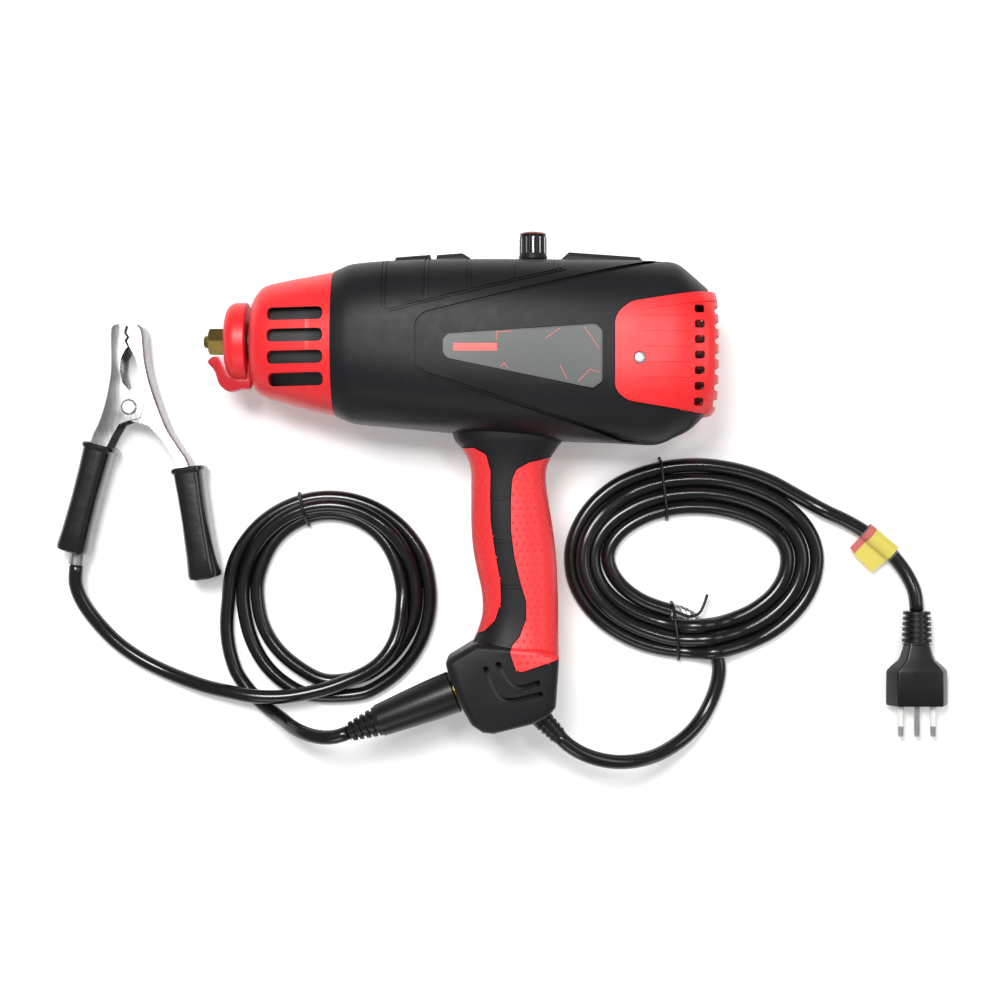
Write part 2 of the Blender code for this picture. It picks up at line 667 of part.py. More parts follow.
def build_nose(red, brass, dark, copper):
    """The slotted nose cone, the electrode collet through it and the turning clamp ring."""
    nose = barrel_shape(NOSE, 0)
    joint_x = BARREL[0][0]
    spigot = (BARREL[0], BARREL[1])
    nose = union(nose, barrel_shape(spigot, -WALL - GAP, from_x=joint_x - 14, to_x=joint_x + 8))
    nose = cut(nose, barrel_shape(NOSE[1:], -NOSE_WALL, from_x=NOSE_FRONT + 3, to_x=joint_x - 14),
               barrel_shape(spigot, -WALL - GAP - 2, from_x=joint_x - 16, to_x=joint_x + 12),
               turned(((-10, 12), (20, 12)), (NOSE_FRONT, NOSE_Y, MID), (1, 0, 0), 20))
    for number in range(NOSE_SLOT_COUNT):
        y = NOSE_SLOT_FIRST_Y + number * NOSE_SLOT_PITCH
        nose = cut(nose, prism(slot_outline(NOSE_SLOT[0], NOSE_SLOT[1], y, NOSE_SLOT[2]), -20, 2 * MID + 20))
    named(nose, "nose_cone", red)

    centre = (0, NOSE_Y, MID)
    flat_to_corner = HEX_FLATS / math.sqrt(3)
    head = turned(((HEX_FRONT, flat_to_corner), (HEX_REAR, flat_to_corner)), centre, (1, 0, 0), 6)
    shank_end = joint_x + 5
    shank = turned(((COLLET_TIP, 2.6), (COLLET_TIP + 1.0, 3.4), (HEX_FRONT + 0.6, 3.9),
                    (HEX_FRONT + 4, SHANK_RADIUS), (shank_end, SHANK_RADIUS)), centre, (1, 0, 0), 20)
    collet = cut(union(head, shank),
                 turned(((COLLET_TIP - 5, ELECTRODE_BORE), (COLLET_TIP + 42, ELECTRODE_BORE)), centre,
                        (1, 0, 0), 12))
    named(collet, "electrode_collet", brass)

    front = NOSE_FRONT
    running = SHANK_RADIUS + GAP
    bush = turned(((front - 2.6, running), (front - 2.6, 11.6), (front + 3.3, 11.6), (front + 3.3, 17),
                   (front + 9, 17), (front + 9, 10), (front + 24, 10), (front + 24, running)),
                  centre, (1, 0, 0), 20, ring=True)
    named(bush, "collet_insulator", dark)

    low, high = RING_X
    ring = turned(((low, 6.5), (low, RING_RADIUS - 4.6), (low + 2.4, RING_RADIUS - 1.4),
                   (low + 6, RING_RADIUS), (high, RING_RADIUS), (high, 6.5)), centre, (1, 0, 0), 32, ring=True)
    wing = prism(WING, MID - WING_THICKNESS / 2, MID + WING_THICKNESS / 2)
    wing = cut(wing, turned(((-200, 10), (0, 10)), centre, (1, 0, 0), 24))
    named(union(ring, wing), "clamp_ring", red)

    nut_low = joint_x - 3.5
    nut = turned(((nut_low, 9.2), (nut_low + 6, 9.2)), centre, (1, 0, 0), 6)
    nut = cut(nut, turned(((-200, running), (0, running)), centre, (1, 0, 0), 20))
    named(nut, "collet_nut", brass)
    plate_x = nut_low - GAP
    strap = prism(((plate_x - 2.5, 47.2), (BOARD_X[0] + 20, 47.2), (BOARD_X[0] + 20, 49.2), (plate_x, 49.2),
                   (plate_x, 90.0), (plate_x - 2.5, 90.0)), MID - 8, MID + 8)
    strap = cut(strap, turned(((-200, running), (0, running)), centre, (1, 0, 0), 20))
    named(strap, "output_busbar", copper)


# ---------------------------------------------------------------- electronics and fan

BOARD_X = (-35.0, 96.0)
BOARD_TOP = 46.8
BOARD_HALF_WIDTH = 33.0


def build_electronics(board_green, aluminium, ferrite, copper, dark):
    """The inverter board with the large parts that stand on it."""
    top = BOARD_TOP
    board = box((BOARD_X[0], top - 1.6, MID - BOARD_HALF_WIDTH), (BOARD_X[1], top, MID + BOARD_HALF_WIDTH))
    named(board, "main_board", board_green)

    base = top + GAP
    fins = []
    count, pitch, fin = 6, 5.6, 1.8
    for number in range(count):
        z = MID - 32 + number * pitch
        fins += [(z, base + 38), (z + fin, base + 38), (z + fin, base + 4), (z + pitch, base + 4)]
    profile = [(MID - 32, base)] + fins[:-1] + [(MID - 32 + (count - 1) * pitch + fin, base)]
    sink = loft([[(x, y, z) for z, y in profile] for x in (-8.0, 48.0)])
    named(sink, "heat_sink", aluminium)

    x, z = 72.0, MID
    low = top + GAP
    core = box((x - 23, low, z - 8), (x + 23, low + 34, z + 8))
    for side in (-1, 1):
        centre = x + side * 12.5
        core = cut(core, box((centre - 4.8, low + 6, z - 20), (centre + 4.8, low + 28, z + 20)))
    named(core, "transformer_core", ferrite)
    coil = box((x - 16.9, low + 6.4, z - 16), (x + 16.9, low + 27.6, z + 16))
    coil = cut(coil, box((x - 8.1, low, z - 8.4), (x + 8.1, low + 40, z + 8.4)))
    named(coil, "transformer_coil", copper)

    choke = turned(tuple((5.5 * math.cos(t), 12.5 + 5.5 * math.sin(t))
                         for t in (math.tau * step / 8 for step in range(8))),
                   (-29.0, top + 23.0, MID), (1, 0, 0), 20, ring=True)
    named(choke, "output_choke", copper)
    for number, x in enumerate((4.0, 30.0), 1):
        can = turned(((base, 11), (base + 1.5, 11.3), (base + 34, 11.3), (base + 36, 10.4)),
                     (x, 0, MID + 20), (0, 1, 0), 20)
        named(can, f"bus_capacitor_{number}", dark)


FAN_X = (108.0, 124.0)
FAN_Y = 72.0
FAN_HALF = 30.0
FAN_BLADES = 7


def build_fan(dark):
    """The cooling fan: a frame with struts to its motor, and the rotor that turns in it."""
    low, high = FAN_X
    centre = (0, FAN_Y, MID)
    frame = box((low, FAN_Y - FAN_HALF, MID - FAN_HALF), (high, FAN_Y + FAN_HALF, MID + FAN_HALF))
    frame = cut(frame, turned(((low - 5, FAN_HALF - 2), (high + 5, FAN_HALF - 2)), centre, (1, 0, 0), 28))
    mount = turned(((low, 10), (low + 2.5, 10)), centre, (1, 0, 0), 20)
    struts = [box((low, FAN_Y - 29, MID - 2), (low + 2.5, FAN_Y + 29, MID + 2)),
              box((low, FAN_Y - 2, MID - 29), (low + 2.5, FAN_Y + 2, MID + 29))]
    named(union(frame, mount, *struts), "fan_frame", dark)

    rotor = turned(((low + 3, 11), (high - 1.5, 11), (high - 0.5, 10)), centre, (1, 0, 0), 20)
    for number in range(FAN_BLADES):
        blade = box((-5.5, 9.0, -0.7), (5.5, FAN_HALF - 3.2, 0.7))
        pitch = Matrix.Rotation(math.radians(38), 4, "Y")
        turn = Matrix.Rotation(math.tau * number / FAN_BLADES, 4, "X")
        place = Matrix.Translation(Vector(((low + high) / 2 + 1.2, FAN_Y, MID)) * MM)
        blade.data.transform(place @ turn @ pitch)
        rotor = union(rotor, blade)
    named(rotor, "fan_rotor", dark)


# ---------------------------------------------------------------- current knob

def build_knob(black, brown, steel, dark):
    """The fluted current knob on its potentiometer."""
    at = (KNOB_X, 0, MID)
    bushing_top = KNOB_Y[0] + 3.0
    pot = turned(((104.0, 8.5), (113.0, 8.5), (113.0, BUSHING_RADIUS), (bushing_top, BUSHING_RADIUS)),
                 at, (0, 1, 0), 16)
    bore = SPINDLE_RADIUS + GAP
    pot = cut(pot, turned(((108.0, bore), (140.0, bore)), at, (0, 1, 0), 12))
    named(pot, "potentiometer", dark)
    nut_low = BARREL[5][2] + GAP
    nut = turned(((nut_low, 4.3), (nut_low + 1.9, 4.3)), at, (0, 1, 0), 6)
    nut = cut(nut, turned(((100, BUSHING_RADIUS + GAP), (140, BUSHING_RADIUS + GAP)), at, (0, 1, 0), 12))
    named(nut, "potentiometer_nut", steel)
    spindle = turned(((108.4, SPINDLE_RADIUS), (KNOB_Y[1] - 3, SPINDLE_RADIUS)), at, (0, 1, 0), 12)
    named(spindle, "knob_spindle", steel)

    outline = []
    for flute in range(KNOB_FLUTES):
        for share, radius in ((0.0, KNOB_RADIUS), (0.45, KNOB_RADIUS), (0.6, KNOB_RADIUS - 0.9),
                              (0.85, KNOB_RADIUS - 0.9)):
            turn = math.tau * (flute + share) / KNOB_FLUTES
            outline.append((KNOB_X + radius * math.cos(turn), MID + radius * math.sin(turn)))
    knob = loft([[(x, y, z) for x, z in outline] for y in KNOB_Y])
    low = KNOB_Y[0]
    knob = cut(knob, turned(((low - 3, 5.2), (low + 3.4, 5.2)), at, (0, 1, 0), 16),
               turned(((low - 3, bore), (KNOB_Y[1] - 2.6, bore)), at, (0, 1, 0), 12))
    named(knob, "adjust_knob", black)
    top = KNOB_Y[1] + GAP
    cap = turned(((top, KNOB_RADIUS - 0.4), (top + CAP_HEIGHT - 0.5, KNOB_RADIUS - 0.5),
                  (top + CAP_HEIGHT - GAP, KNOB_RADIUS - 1.2)), at, (0, 1, 0), 24)
    named(cap, "knob_cap", brown)


# ---------------------------------------------------------------- earth connector and gland

def build_boot_fittings(brass, rubber):
    """The earth socket with its plug, and the mains cord's gland."""
    out = socket_heading()
    at = (*SOCKET_AT, MID)
    socket = turned(((-18, 7.0), (-18, SOCKET_RADIUS), (-0.2, SOCKET_RADIUS), (-0.2, 7.0)), at, out, 24,
                    ring=True)
    named(socket, "ground_socket", brass)
    pin = turned(((-15, 5.2), (-14, 6.4), (9.4, 6.4)), at, out, 20)
    named(pin, "ground_plug_pin", brass)

    face = 0.6
    profile = [(face, SLEEVE_RADIUS), (14, SLEEVE_RADIUS - 0.5), (46.6, 9.3)]
    for rib in range(4):
        start = 47.4 + rib * 4.0
        radius = 8.9 - rib * 0.62
        profile += [(start, radius - 1.4), (start + 1.4, radius - 1.5), (start + 1.8, radius),
                    (start + 3.6, radius - 0.3)]
    profile += [(SLEEVE_LENGTH - 1.6, 5.6), (SLEEVE_LENGTH, 5.4)]
    sleeve = cut(turned(profile, at, out, 16), turned(((-5, 6.9), (10, 6.9)), at, out, 16))
    named(sleeve, "ground_plug_sleeve", rubber)

    gland_out = gland_heading()
    gland = turned(((-14, 8.6), (-8, 8.6), (-8, GLAND_RADIUS), (6, GLAND_RADIUS - 0.2),
                    (14.4, MAINS_RADIUS + 0.5)), (*GLAND_AT, MID), gland_out, 16)
    named(gland, "cord_gland", rubber)


# ---------------------------------------------------------------- cords

def coil_solid(name, sizes, hole_drop, height, radius, stubs, material):
    """The outer shape of a coil of cord: an oval ring with a stub where each free end leaves it."""
    x, y, outer_x, outer_y, inner_x, inner_y = sizes
    body = prism(oval((x, y), (outer_x, outer_y), 2, 36), 0.05, height)
    for route in stubs:
        body = union(body, prism(ribbon(route, radius * 2), 0.15, height - 0.1))
    hole = prism(oval((x, y - hole_drop), (inner_x, inner_y), 2, 28), -5, height + 5)
    named(cut(body, hole), name, material)


def reach(point, along, sizes, drop, inner):
    """The distance from a point in a coil to its outer edge or to its hole's edge."""
    x, y, outer_x, outer_y, inner_x, inner_y = sizes
    centre = Vector((x, y - drop)) if inner else Vector((x, y))
    half = (inner_x, inner_y) if inner else (outer_x, outer_y)
    start = [(p - c) / h for p, c, h in zip(point, centre, half)]
    step = [a / h for a, h in zip(along, half)]
    a = step[0] ** 2 + step[1] ** 2
    b = start[0] * step[0] + start[1] * step[1]
    c = start[0] ** 2 + start[1] ** 2 - 1
    return (-b + math.sqrt(b * b - a * c)) / a


def staple(name, point, along, sizes, drop, height, width, material):
    """A tie over a coil: two legs and a bridge, crossing the coil's band from its hole to its outside."""
    heading = Vector(along).normalized()
    a = reach(point, heading, sizes, drop, True) - 1.6
    b = reach(point, heading, sizes, drop, False) + 1.4
    t = TIE_THICKNESS
    top = height + 0.4
    profile = ((a - t, 0.2), (a, 0.2), (a, top), (b, top), (b, 0.2), (b + t, 0.2), (b + t, top + t),
               (a - t, top + t))
    side = Vector((-heading.y, heading.x, 0)) * width / 2
    rings = []
    for across in (-side, side):
        rings.append([Vector((*point, 0)) + Vector((*(heading * s), z)) + across for s, z in profile])
    named(loft(rings), name, material)


def cord_end(route, radius, last=True):
    """Where a tube along a route ends, in x and y, and the direction that it points there."""
    points = smooth_route(route, radius * 3.4)
    end, before = (points[-1], points[-2]) if last else (points[0], points[1])
    return end.xy, (end - before).xy.normalized()


def stub_route(end, heading, radius, inside):
    """The route of a coil's stub, from just past a tube's end to a point inside the coil."""
    start = end + heading * (GAP + 0.2 + radius / 2)
    return start, start + heading * 3.0, Vector(inside)


def build_earth_cord(cable):
    """The earth cable: its lead from the plug, its coil, its tail to the clamp and the tie."""
    tube("earth_cord_lead", EARTH_LEAD, EARTH_RADIUS, cable)
    end, heading = cord_end(EARTH_LEAD, EARTH_RADIUS)
    stub = stub_route(end, heading, EARTH_RADIUS, EARTH_COIL_ENTRY)
    coil_solid("earth_cord_coil", EARTH_COIL, EARTH_HOLE_DROP, EARTH_COIL_HEIGHT, EARTH_RADIUS, [stub], cable)
    tube("earth_cord_tail", EARTH_TAIL, EARTH_RADIUS, cable)
    staple("earth_cord_tie", EARTH_COIL[:2], EARTH_TIE_ALONG, EARTH_COIL, EARTH_HOLE_DROP,
           EARTH_COIL_HEIGHT, 4.6, cable)


def build_mains_cord(cable, rubber, label):
    """The mains cord: its lead from the gland, its coil, its tail to the plug, the ties and the tag."""
    tube("mains_cord_lead", MAINS_LEAD, MAINS_RADIUS, cable)
    tube("mains_cord_tail", MAINS_TAIL, MAINS_RADIUS, cable)
    lead_end, forward = cord_end(MAINS_LEAD, MAINS_RADIUS)
    tail_start, back = cord_end(MAINS_TAIL, MAINS_RADIUS, last=False)
    stubs = [stub_route(lead_end, forward, MAINS_RADIUS, MAINS_COIL_ENTRY),
             stub_route(tail_start, back, MAINS_RADIUS, MAINS_COIL_EXIT)]
    coil_solid("mains_cord_coil", MAINS_COIL, MAINS_HOLE_DROP, MAINS_COIL_HEIGHT, MAINS_RADIUS, stubs, cable)
    for name, x, side in (("cord_tie_upper", UPPER_TIE_X, 1), ("cord_tie_lower", LOWER_TIE_X, -1)):
        staple(name, (x, MAINS_COIL[1]), (0, side), MAINS_COIL, MAINS_HOLE_DROP, MAINS_COIL_HEIGHT, 6.0,
               rubber)

    middle = Vector(MAINS_TAIL[3])
    along = (Vector(MAINS_TAIL[4]) - Vector(MAINS_TAIL[2])).normalized()
    clear = MAINS_RADIUS + 1.2
    sleeve = turned(((-5, clear + 0.6), (5, clear + 0.6)), middle, along, 16)
    across = Vector((along.y, -along.x, 0)).normalized()
    corners = [middle + across * s + along * t for s, t in ((2, -6), (19, -9.5), (19, 9.5), (2, 6))]
    flag = prism([(c.x, c.y) for c in corners], middle.z - 0.6, middle.z + 0.6)
    tag = cut(union(sleeve, flag), turned(((-20, clear), (20, clear)), middle, along, 16))
    named(tag, "cord_tag", label)


def build_plug(rubber, steel, white):
    """The three-pin in-line plug with its ribbed relief."""
    def ring(y, half_x, half_z):
        return [(PLUG_X + a, y, PLUG_Z + b) for a, b in
                ((-half_x, 0), (-half_x * 0.72, half_z), (half_x * 0.72, half_z), (half_x, 0),
                 (half_x * 0.72, -half_z), (-half_x * 0.72, -half_z))]

    relief_top = MAINS_TAIL[-1][1] - 1.0
    body = loft([ring(PLUG_FACE_Y + back, half_x, half_z) for back, half_x, half_z in PLUG_STATIONS])
    relief = []
    for rib in range(6):
        start = rib * 3.1
        relief += [(start, 8.6), (start + 1.7, 8.7), (start + 1.8, 6.9), (start + 3.0, 6.9)]
    relief += [(relief_top - PLUG_FACE_Y - PLUG_STATIONS[1][0], 8.7)]
    body = union(body, turned(relief, (PLUG_X, relief_top, PLUG_Z), (0, -1, 0), 12))
    sink = 6.0
    for offset in (-PIN_PITCH, 0, PIN_PITCH):
        hole = PIN_RADIUS + GAP
        body = cut(body, turned(((-sink - GAP, hole), (10, hole)), (PLUG_X + offset, PLUG_FACE_Y, PLUG_Z),
                                (0, -1, 0), 12))
    named(body, "plug_body", rubber)
    pins = (("plug_pin_front", -PIN_PITCH, white), ("plug_pin_middle", 0, steel),
            ("plug_pin_rear", PIN_PITCH, white))
    for name, offset, finish_material in pins:
        profile = ((-sink, PIN_RADIUS), (PIN_LENGTH - 1, PIN_RADIUS), (PIN_LENGTH, PIN_RADIUS * 0.5))
        pin = turned(profile, (PLUG_X + offset, PLUG_FACE_Y, PLUG_Z), (0, -1, 0), 12)
        named(pin, name, finish_material)


# ---------------------------------------------------------------- earth clamp

def channel(outer, inner, half_width, inward):
    """A pressed arm: a channel whose web follows the outer edge and whose cheeks reach the inner edge."""
    outer = [(PIVOT[0] + x, PIVOT[1] + y) for x, y in outer]
    inner = [(PIVOT[0] + x, PIVOT[1] + y) for x, y in inner]
    arm = prism(outer + inner, CLAMP_Z - half_width, CLAMP_Z + half_width)
    hollow = [(x + inward * ARM_SHEET * 1.1, y) for x, y in outer] + [(x + inward * 14, y) for x, y in inner]
    room = half_width - ARM_SHEET
    return cut(arm, prism(hollow, CLAMP_Z - room, CLAMP_Z + room),
               turned(((-30, RIVET_RADIUS + GAP), (30, RIVET_RADIUS + GAP)), (*PIVOT, CLAMP_Z), (0, 0, 1), 16))


def clamp_handle(ends, collar_share, open_foot):
    """A dipped sleeve over an arm, with a flanged collar at its top."""
    top, foot = (Vector(PIVOT) + Vector(end) for end in ends)
    along = (foot - top).normalized()
    across = Vector((-along.y, along.x))
    length = (foot - top).length

    def ring(distance, share, inset=0.0):
        centre = top + along * distance
        section = oval((0, CLAMP_Z), (HANDLE_HALF[0] * share - inset, HANDLE_HALF[1] - inset), 4.0, 16)
        return [(centre.x + across.x * s, centre.y + across.y * s, z) for s, z in section]

    body = loft([ring(0, collar_share), ring(3.0, collar_share), ring(3.4, 0.98), ring(length * 0.5, 0.92),
                 ring(length * 0.8, 0.96), ring(length - 1.5, 1.0), ring(length, 0.96)])
    depth = length + 5 if open_foot else length - 4
    room = loft([ring(-5, 0.98, HANDLE_SHEET), ring(3.4, 0.98, HANDLE_SHEET),
                 ring(length * 0.5, 0.93, HANDLE_SHEET), ring(depth, 1.0, HANDLE_SHEET)])
    return cut(body, room)


def build_clamp(zinc, handle_black, spring_steel, cable_steel):
    """The earth clamp: a fixed and a moving arm on a rivet, with their handles, spring and cable lug."""
    named(channel(FIXED_OUTER, FIXED_INNER, FIXED_ARM_HALF, 1), "clamp_arm_fixed", zinc)
    named(channel(MOVING_OUTER[::-1], MOVING_INNER[::-1], MOVING_ARM_HALF, -1), "clamp_arm_moving", zinc)
    named(clamp_handle(FIXED_HANDLE, 1.1, True), "clamp_handle_fixed", handle_black)
    named(clamp_handle(MOVING_HANDLE, 1.1, False), "clamp_handle_moving", handle_black)

    reach = FIXED_ARM_HALF + GAP
    head = 1.2
    rivet = turned(((-reach - head, 3.6), (-reach - head * 0.4, 4.6), (-reach, 4.6), (-reach, RIVET_RADIUS),
                    (reach, RIVET_RADIUS), (reach, 4.6), (reach + head * 0.4, 4.6), (reach + head, 3.6)),
                   (*PIVOT, CLAMP_Z), (0, 0, 1), 20)
    named(rivet, "clamp_rivet", zinc)

    turns, per_turn, pitch, coil_radius, wire = 4, 10, 2.7, 5.0, 0.9
    route = [(PIVOT[0] - 9.0, PIVOT[1] - 9.0, CLAMP_Z - turns * pitch / 2)]
    for step in range(turns * per_turn + 1):
        turn = math.radians(200) + math.tau * step / per_turn
        route.append((PIVOT[0] + coil_radius * math.cos(turn), PIVOT[1] + coil_radius * math.sin(turn),
                      CLAMP_Z + pitch * (step / per_turn - turns / 2)))
    tube("clamp_spring", route, wire, spring_steel, spacing=3.2, resolution=1)

    start, end = (Vector((PIVOT[0] + x, PIVOT[1] + y, CLAMP_Z)) for x, y in LUG)
    length = (end - start).length
    lug = turned(((0, 2.6), (4, LUG_RADIUS), (length - 0.2, LUG_RADIUS)), start, end - start, 16)
    named(lug, "cable_lug", cable_steel)


def build():
    """Clears the scene and builds the whole welder."""
    for item in list(bpy.data.objects):
        bpy.data.objects.remove(item)
    black = paint("housing_black", (0.035, 0.033, 0.037), 0.5)
    red = paint("nose_red", (0.78, 0.035, 0.04), 0.42)
    soft_red = paint("grip_red", (0.82, 0.06, 0.065), 0.6)
    plate = paint("plate_grey", (0.06, 0.075, 0.07), 0.35)
    brass = paint("brass", (0.55, 0.42, 0.16), 0.32, 1.0)
    steel = paint("screw_steel", (0.75, 0.75, 0.74), 0.3, 1.0)
    zinc = paint("zinc_plate", (0.82, 0.83, 0.84), 0.25, 1.0)
    copper = paint("copper", (0.75, 0.36, 0.2), 0.35, 1.0)
    aluminium = paint("aluminium", (0.75, 0.76, 0.77), 0.4, 1.0)
    board = paint("board_green", (0.03, 0.2, 0.09), 0.5)
    ferrite = paint("ferrite", (0.05, 0.05, 0.055), 0.6)
    dark = paint("dark_plastic", (0.03, 0.03, 0.032), 0.55)
    brown = paint("cap_brown", (0.22, 0.07, 0.05), 0.35)
    rubber = paint("black_rubber", (0.02, 0.02, 0.021), 0.5)
    cable = paint("cable_jacket", (0.015, 0.015, 0.016), 0.35)
    yellow = paint("tag_yellow", (0.85, 0.72, 0.08), 0.4)
    white = paint("pin_sleeve", (0.85, 0.84, 0.8), 0.4)

    build_housing(black, soft_red, plate, steel)
    build_grille(red, steel)
    build_nose(red, brass, dark, copper)
    build_electronics(board, aluminium, ferrite, copper, dark)
    build_fan(dark)
    build_knob(black, brown, steel, dark)
    build_boot_fittings(brass, rubber)
    build_earth_cord(cable)
    build_mains_cord(cable, rubber, yellow)
    build_plug(rubber, steel, white)
    build_clamp(zinc, rubber, steel, zinc)


build()
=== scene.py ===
"""The finished look of a handheld arc welder that lies on its right side, with its cords laid out.

Lengths are in millimetres until a mesh is made, where MM turns them into metres. +X points to the welder's
rear, +Y to its top and +Z to its left side, which faces up. MID is the height of the housing's parting plane.
"""

import logging
import math
from dataclasses import dataclass, field
from enum import Enum
from typing import Any, Iterable, Sequence

import bmesh
import bpy
import numpy as np
from mathutils import Matrix, Vector

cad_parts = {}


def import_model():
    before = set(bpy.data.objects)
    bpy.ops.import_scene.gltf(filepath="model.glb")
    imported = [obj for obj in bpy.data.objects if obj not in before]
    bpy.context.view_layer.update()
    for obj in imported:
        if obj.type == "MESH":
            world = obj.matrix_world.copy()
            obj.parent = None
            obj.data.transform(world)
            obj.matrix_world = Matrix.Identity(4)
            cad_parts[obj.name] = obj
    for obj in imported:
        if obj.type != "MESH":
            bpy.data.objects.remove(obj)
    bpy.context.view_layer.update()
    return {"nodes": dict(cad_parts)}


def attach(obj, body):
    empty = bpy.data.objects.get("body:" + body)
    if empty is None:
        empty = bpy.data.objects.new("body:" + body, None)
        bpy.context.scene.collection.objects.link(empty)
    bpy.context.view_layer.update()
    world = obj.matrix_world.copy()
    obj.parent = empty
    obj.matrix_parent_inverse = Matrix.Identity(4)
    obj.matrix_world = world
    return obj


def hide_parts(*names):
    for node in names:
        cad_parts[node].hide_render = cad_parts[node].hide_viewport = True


MM = 0.001
MID = 48.0
GAP = 0.3
REACH = 300.0  # past the welder on every side, for blocks that cut or keep
LOG = logging.getLogger("welder")

Outline = Sequence[tuple[float, float]]
Piece = bpy.types.Object


# ---------------------------------------------------------------- meshes

def as_object(name: str, points: Iterable[Sequence[float]], faces: Iterable[Sequence[int]]) -> Piece:
    """Makes an object from points in millimetres, with its faces turned outwards.

    Args:
        name: the object's name.
        points: corners, in millimetres.
        faces: rows of corner numbers.

    Returns:
        The new object, which stands at the origin.
    """
    work = bmesh.new()
    corners = [work.verts.new(Vector(point) * MM) for point in points]
    for face in faces:
        work.faces.new([corners[index] for index in face])
    bmesh.ops.recalc_face_normals(work, faces=work.faces)
    bent = [face for face in work.faces if len(face.verts) == 4 and not is_flat(face)]
    bmesh.ops.triangulate(work, faces=bent)
    mesh = bpy.data.meshes.new(name)
    work.to_mesh(mesh)
    work.free()
    piece = bpy.data.objects.new(name, mesh)
    bpy.context.scene.collection.objects.link(piece)
    return piece


def is_flat(face: bmesh.types.BMFace) -> bool:
    """Whether a face's corners lie in one plane."""
    corner = face.verts[0].co
    return all(abs((vert.co - corner).dot(face.normal)) < 1e-7 for vert in face.verts)


def loft(rings: Sequence[Sequence[Sequence[float]]], closed: bool = False) -> Piece:
    """A solid through rings of equal numbers of points.

    Args:
        rings: the rings, in order.
        closed: whether the last ring joins the first, instead of two caps.

    Returns:
        The solid.
    """
    sides = len(rings[0])
    points = [point for ring in rings for point in ring]
    faces: list[list[int]] = []
    if not closed:
        faces += [list(range(sides)), [(len(rings) - 1) * sides + index for index in range(sides)]]
    for step in range(len(rings) if closed else len(rings) - 1):
        low, high = step * sides, (step + 1) % len(rings) * sides
        for index in range(sides):
            after = (index + 1) % sides
            faces.append([low + index, low + after, high + after, high + index])
    return as_object("shape", points, faces)


def prism(outline: Outline, low: float, high: float) -> Piece:
    """An outline in x and y, extruded from one height to another."""
    return loft([[(x, y, z) for x, y in outline] for z in (low, high)])


def box(low: Sequence[float], high: Sequence[float]) -> Piece:
    """A block between two corners, for cutting and keeping."""
    outline = ((low[0], low[1]), (high[0], low[1]), (high[0], high[1]), (low[0], high[1]))
    return prism(outline, low[2], high[2])


def through(outline: Outline) -> Piece:
    """An outline in x and y, extruded right through the welder from side to side."""
    return prism(outline, -20, 2 * MID + 20)


def side_room(side: str) -> Piece:
    """A block that holds all that lies on one side of the parting plane."""
    low, high = (MID + GAP / 2, 2 * MID + 10) if side == "left" else (-10, MID - GAP / 2)
    return box((-REACH, -REACH, low), (REACH, REACH, high))


def turned(profile: Sequence[tuple[float, float]], start: Sequence[float], heading: Sequence[float],
           sides: int = 48, ring: bool = False) -> Piece:
    """A solid of revolution.

    Args:
        profile: distances along the heading, and radii.
        start: the point that the distances count from.
        heading: the axis.
        sides: corners round the axis.
        ring: whether the profile closes on itself round a bore.

    Returns:
        The solid.
    """
    along = Vector(heading).normalized()
    helper = Vector((0, 0, 1)) if abs(along.z) < 0.9 else Vector((1, 0, 0))
    across = along.cross(helper).normalized()
    up = along.cross(across)
    rings = []
    for distance, radius in profile:
        centre = Vector(start) + along * distance
        turns = (math.tau * (index + 0.5) / sides for index in range(sides))
        rings.append([centre + (across * math.cos(t) + up * math.sin(t)) * radius for t in turns])
    return loft(rings, closed=ring)


def combine(base: Piece, operation: str, *tools: Piece) -> Piece:
    """Applies a Boolean of the base with each tool, and removes the tools."""
    for tool in tools:
        modifier = base.modifiers.new("combine", "BOOLEAN")
        modifier.operation = operation
        modifier.solver = "EXACT"
        modifier.object = tool
        graph = bpy.context.evaluated_depsgraph_get()
        mesh = bpy.data.meshes.new_from_object(base.evaluated_get(graph))
        base.modifiers.clear()
        base.data = mesh
        bpy.data.objects.remove(tool)
    return base


def union(base: Piece, *tools: Piece) -> Piece:
    """The base together with the tools."""
    return combine(base, "UNION", *tools)


def cut(base: Piece, *tools: Piece) -> Piece:
    """The base without the tools."""
    return combine(base, "DIFFERENCE", *tools)


def keep(base: Piece, tool: Piece) -> Piece:
    """The part of the base that lies inside the tool."""
    return combine(base, "INTERSECT", tool)


def copy_of(piece: Piece) -> Piece:
    """A working copy of a shape."""
    twin = bpy.data.objects.new("shape", piece.data.copy())
    bpy.context.scene.collection.objects.link(twin)
    return twin


def mirrored(piece: Piece) -> Piece:
    """A copy of a shape on the other side of the parting plane."""
    twin = copy_of(piece)
    middle = Matrix.Translation((0, 0, MID * MM))
    twin.data.transform(middle @ Matrix.Scale(-1, 4, (0, 0, 1)) @ middle.inverted())
    twin.data.flip_normals()
    return twin


def joined(*pieces: Piece) -> Piece:
    """Several shapes in one object, without a Boolean."""
    work = bmesh.new()
    for piece in pieces:
        work.from_mesh(piece.data)
        bpy.data.objects.remove(piece)
    mesh = bpy.data.meshes.new("shape")
    work.to_mesh(mesh)
    work.free()
    whole = bpy.data.objects.new("shape", mesh)
    bpy.context.scene.collection.objects.link(whole)
    return whole


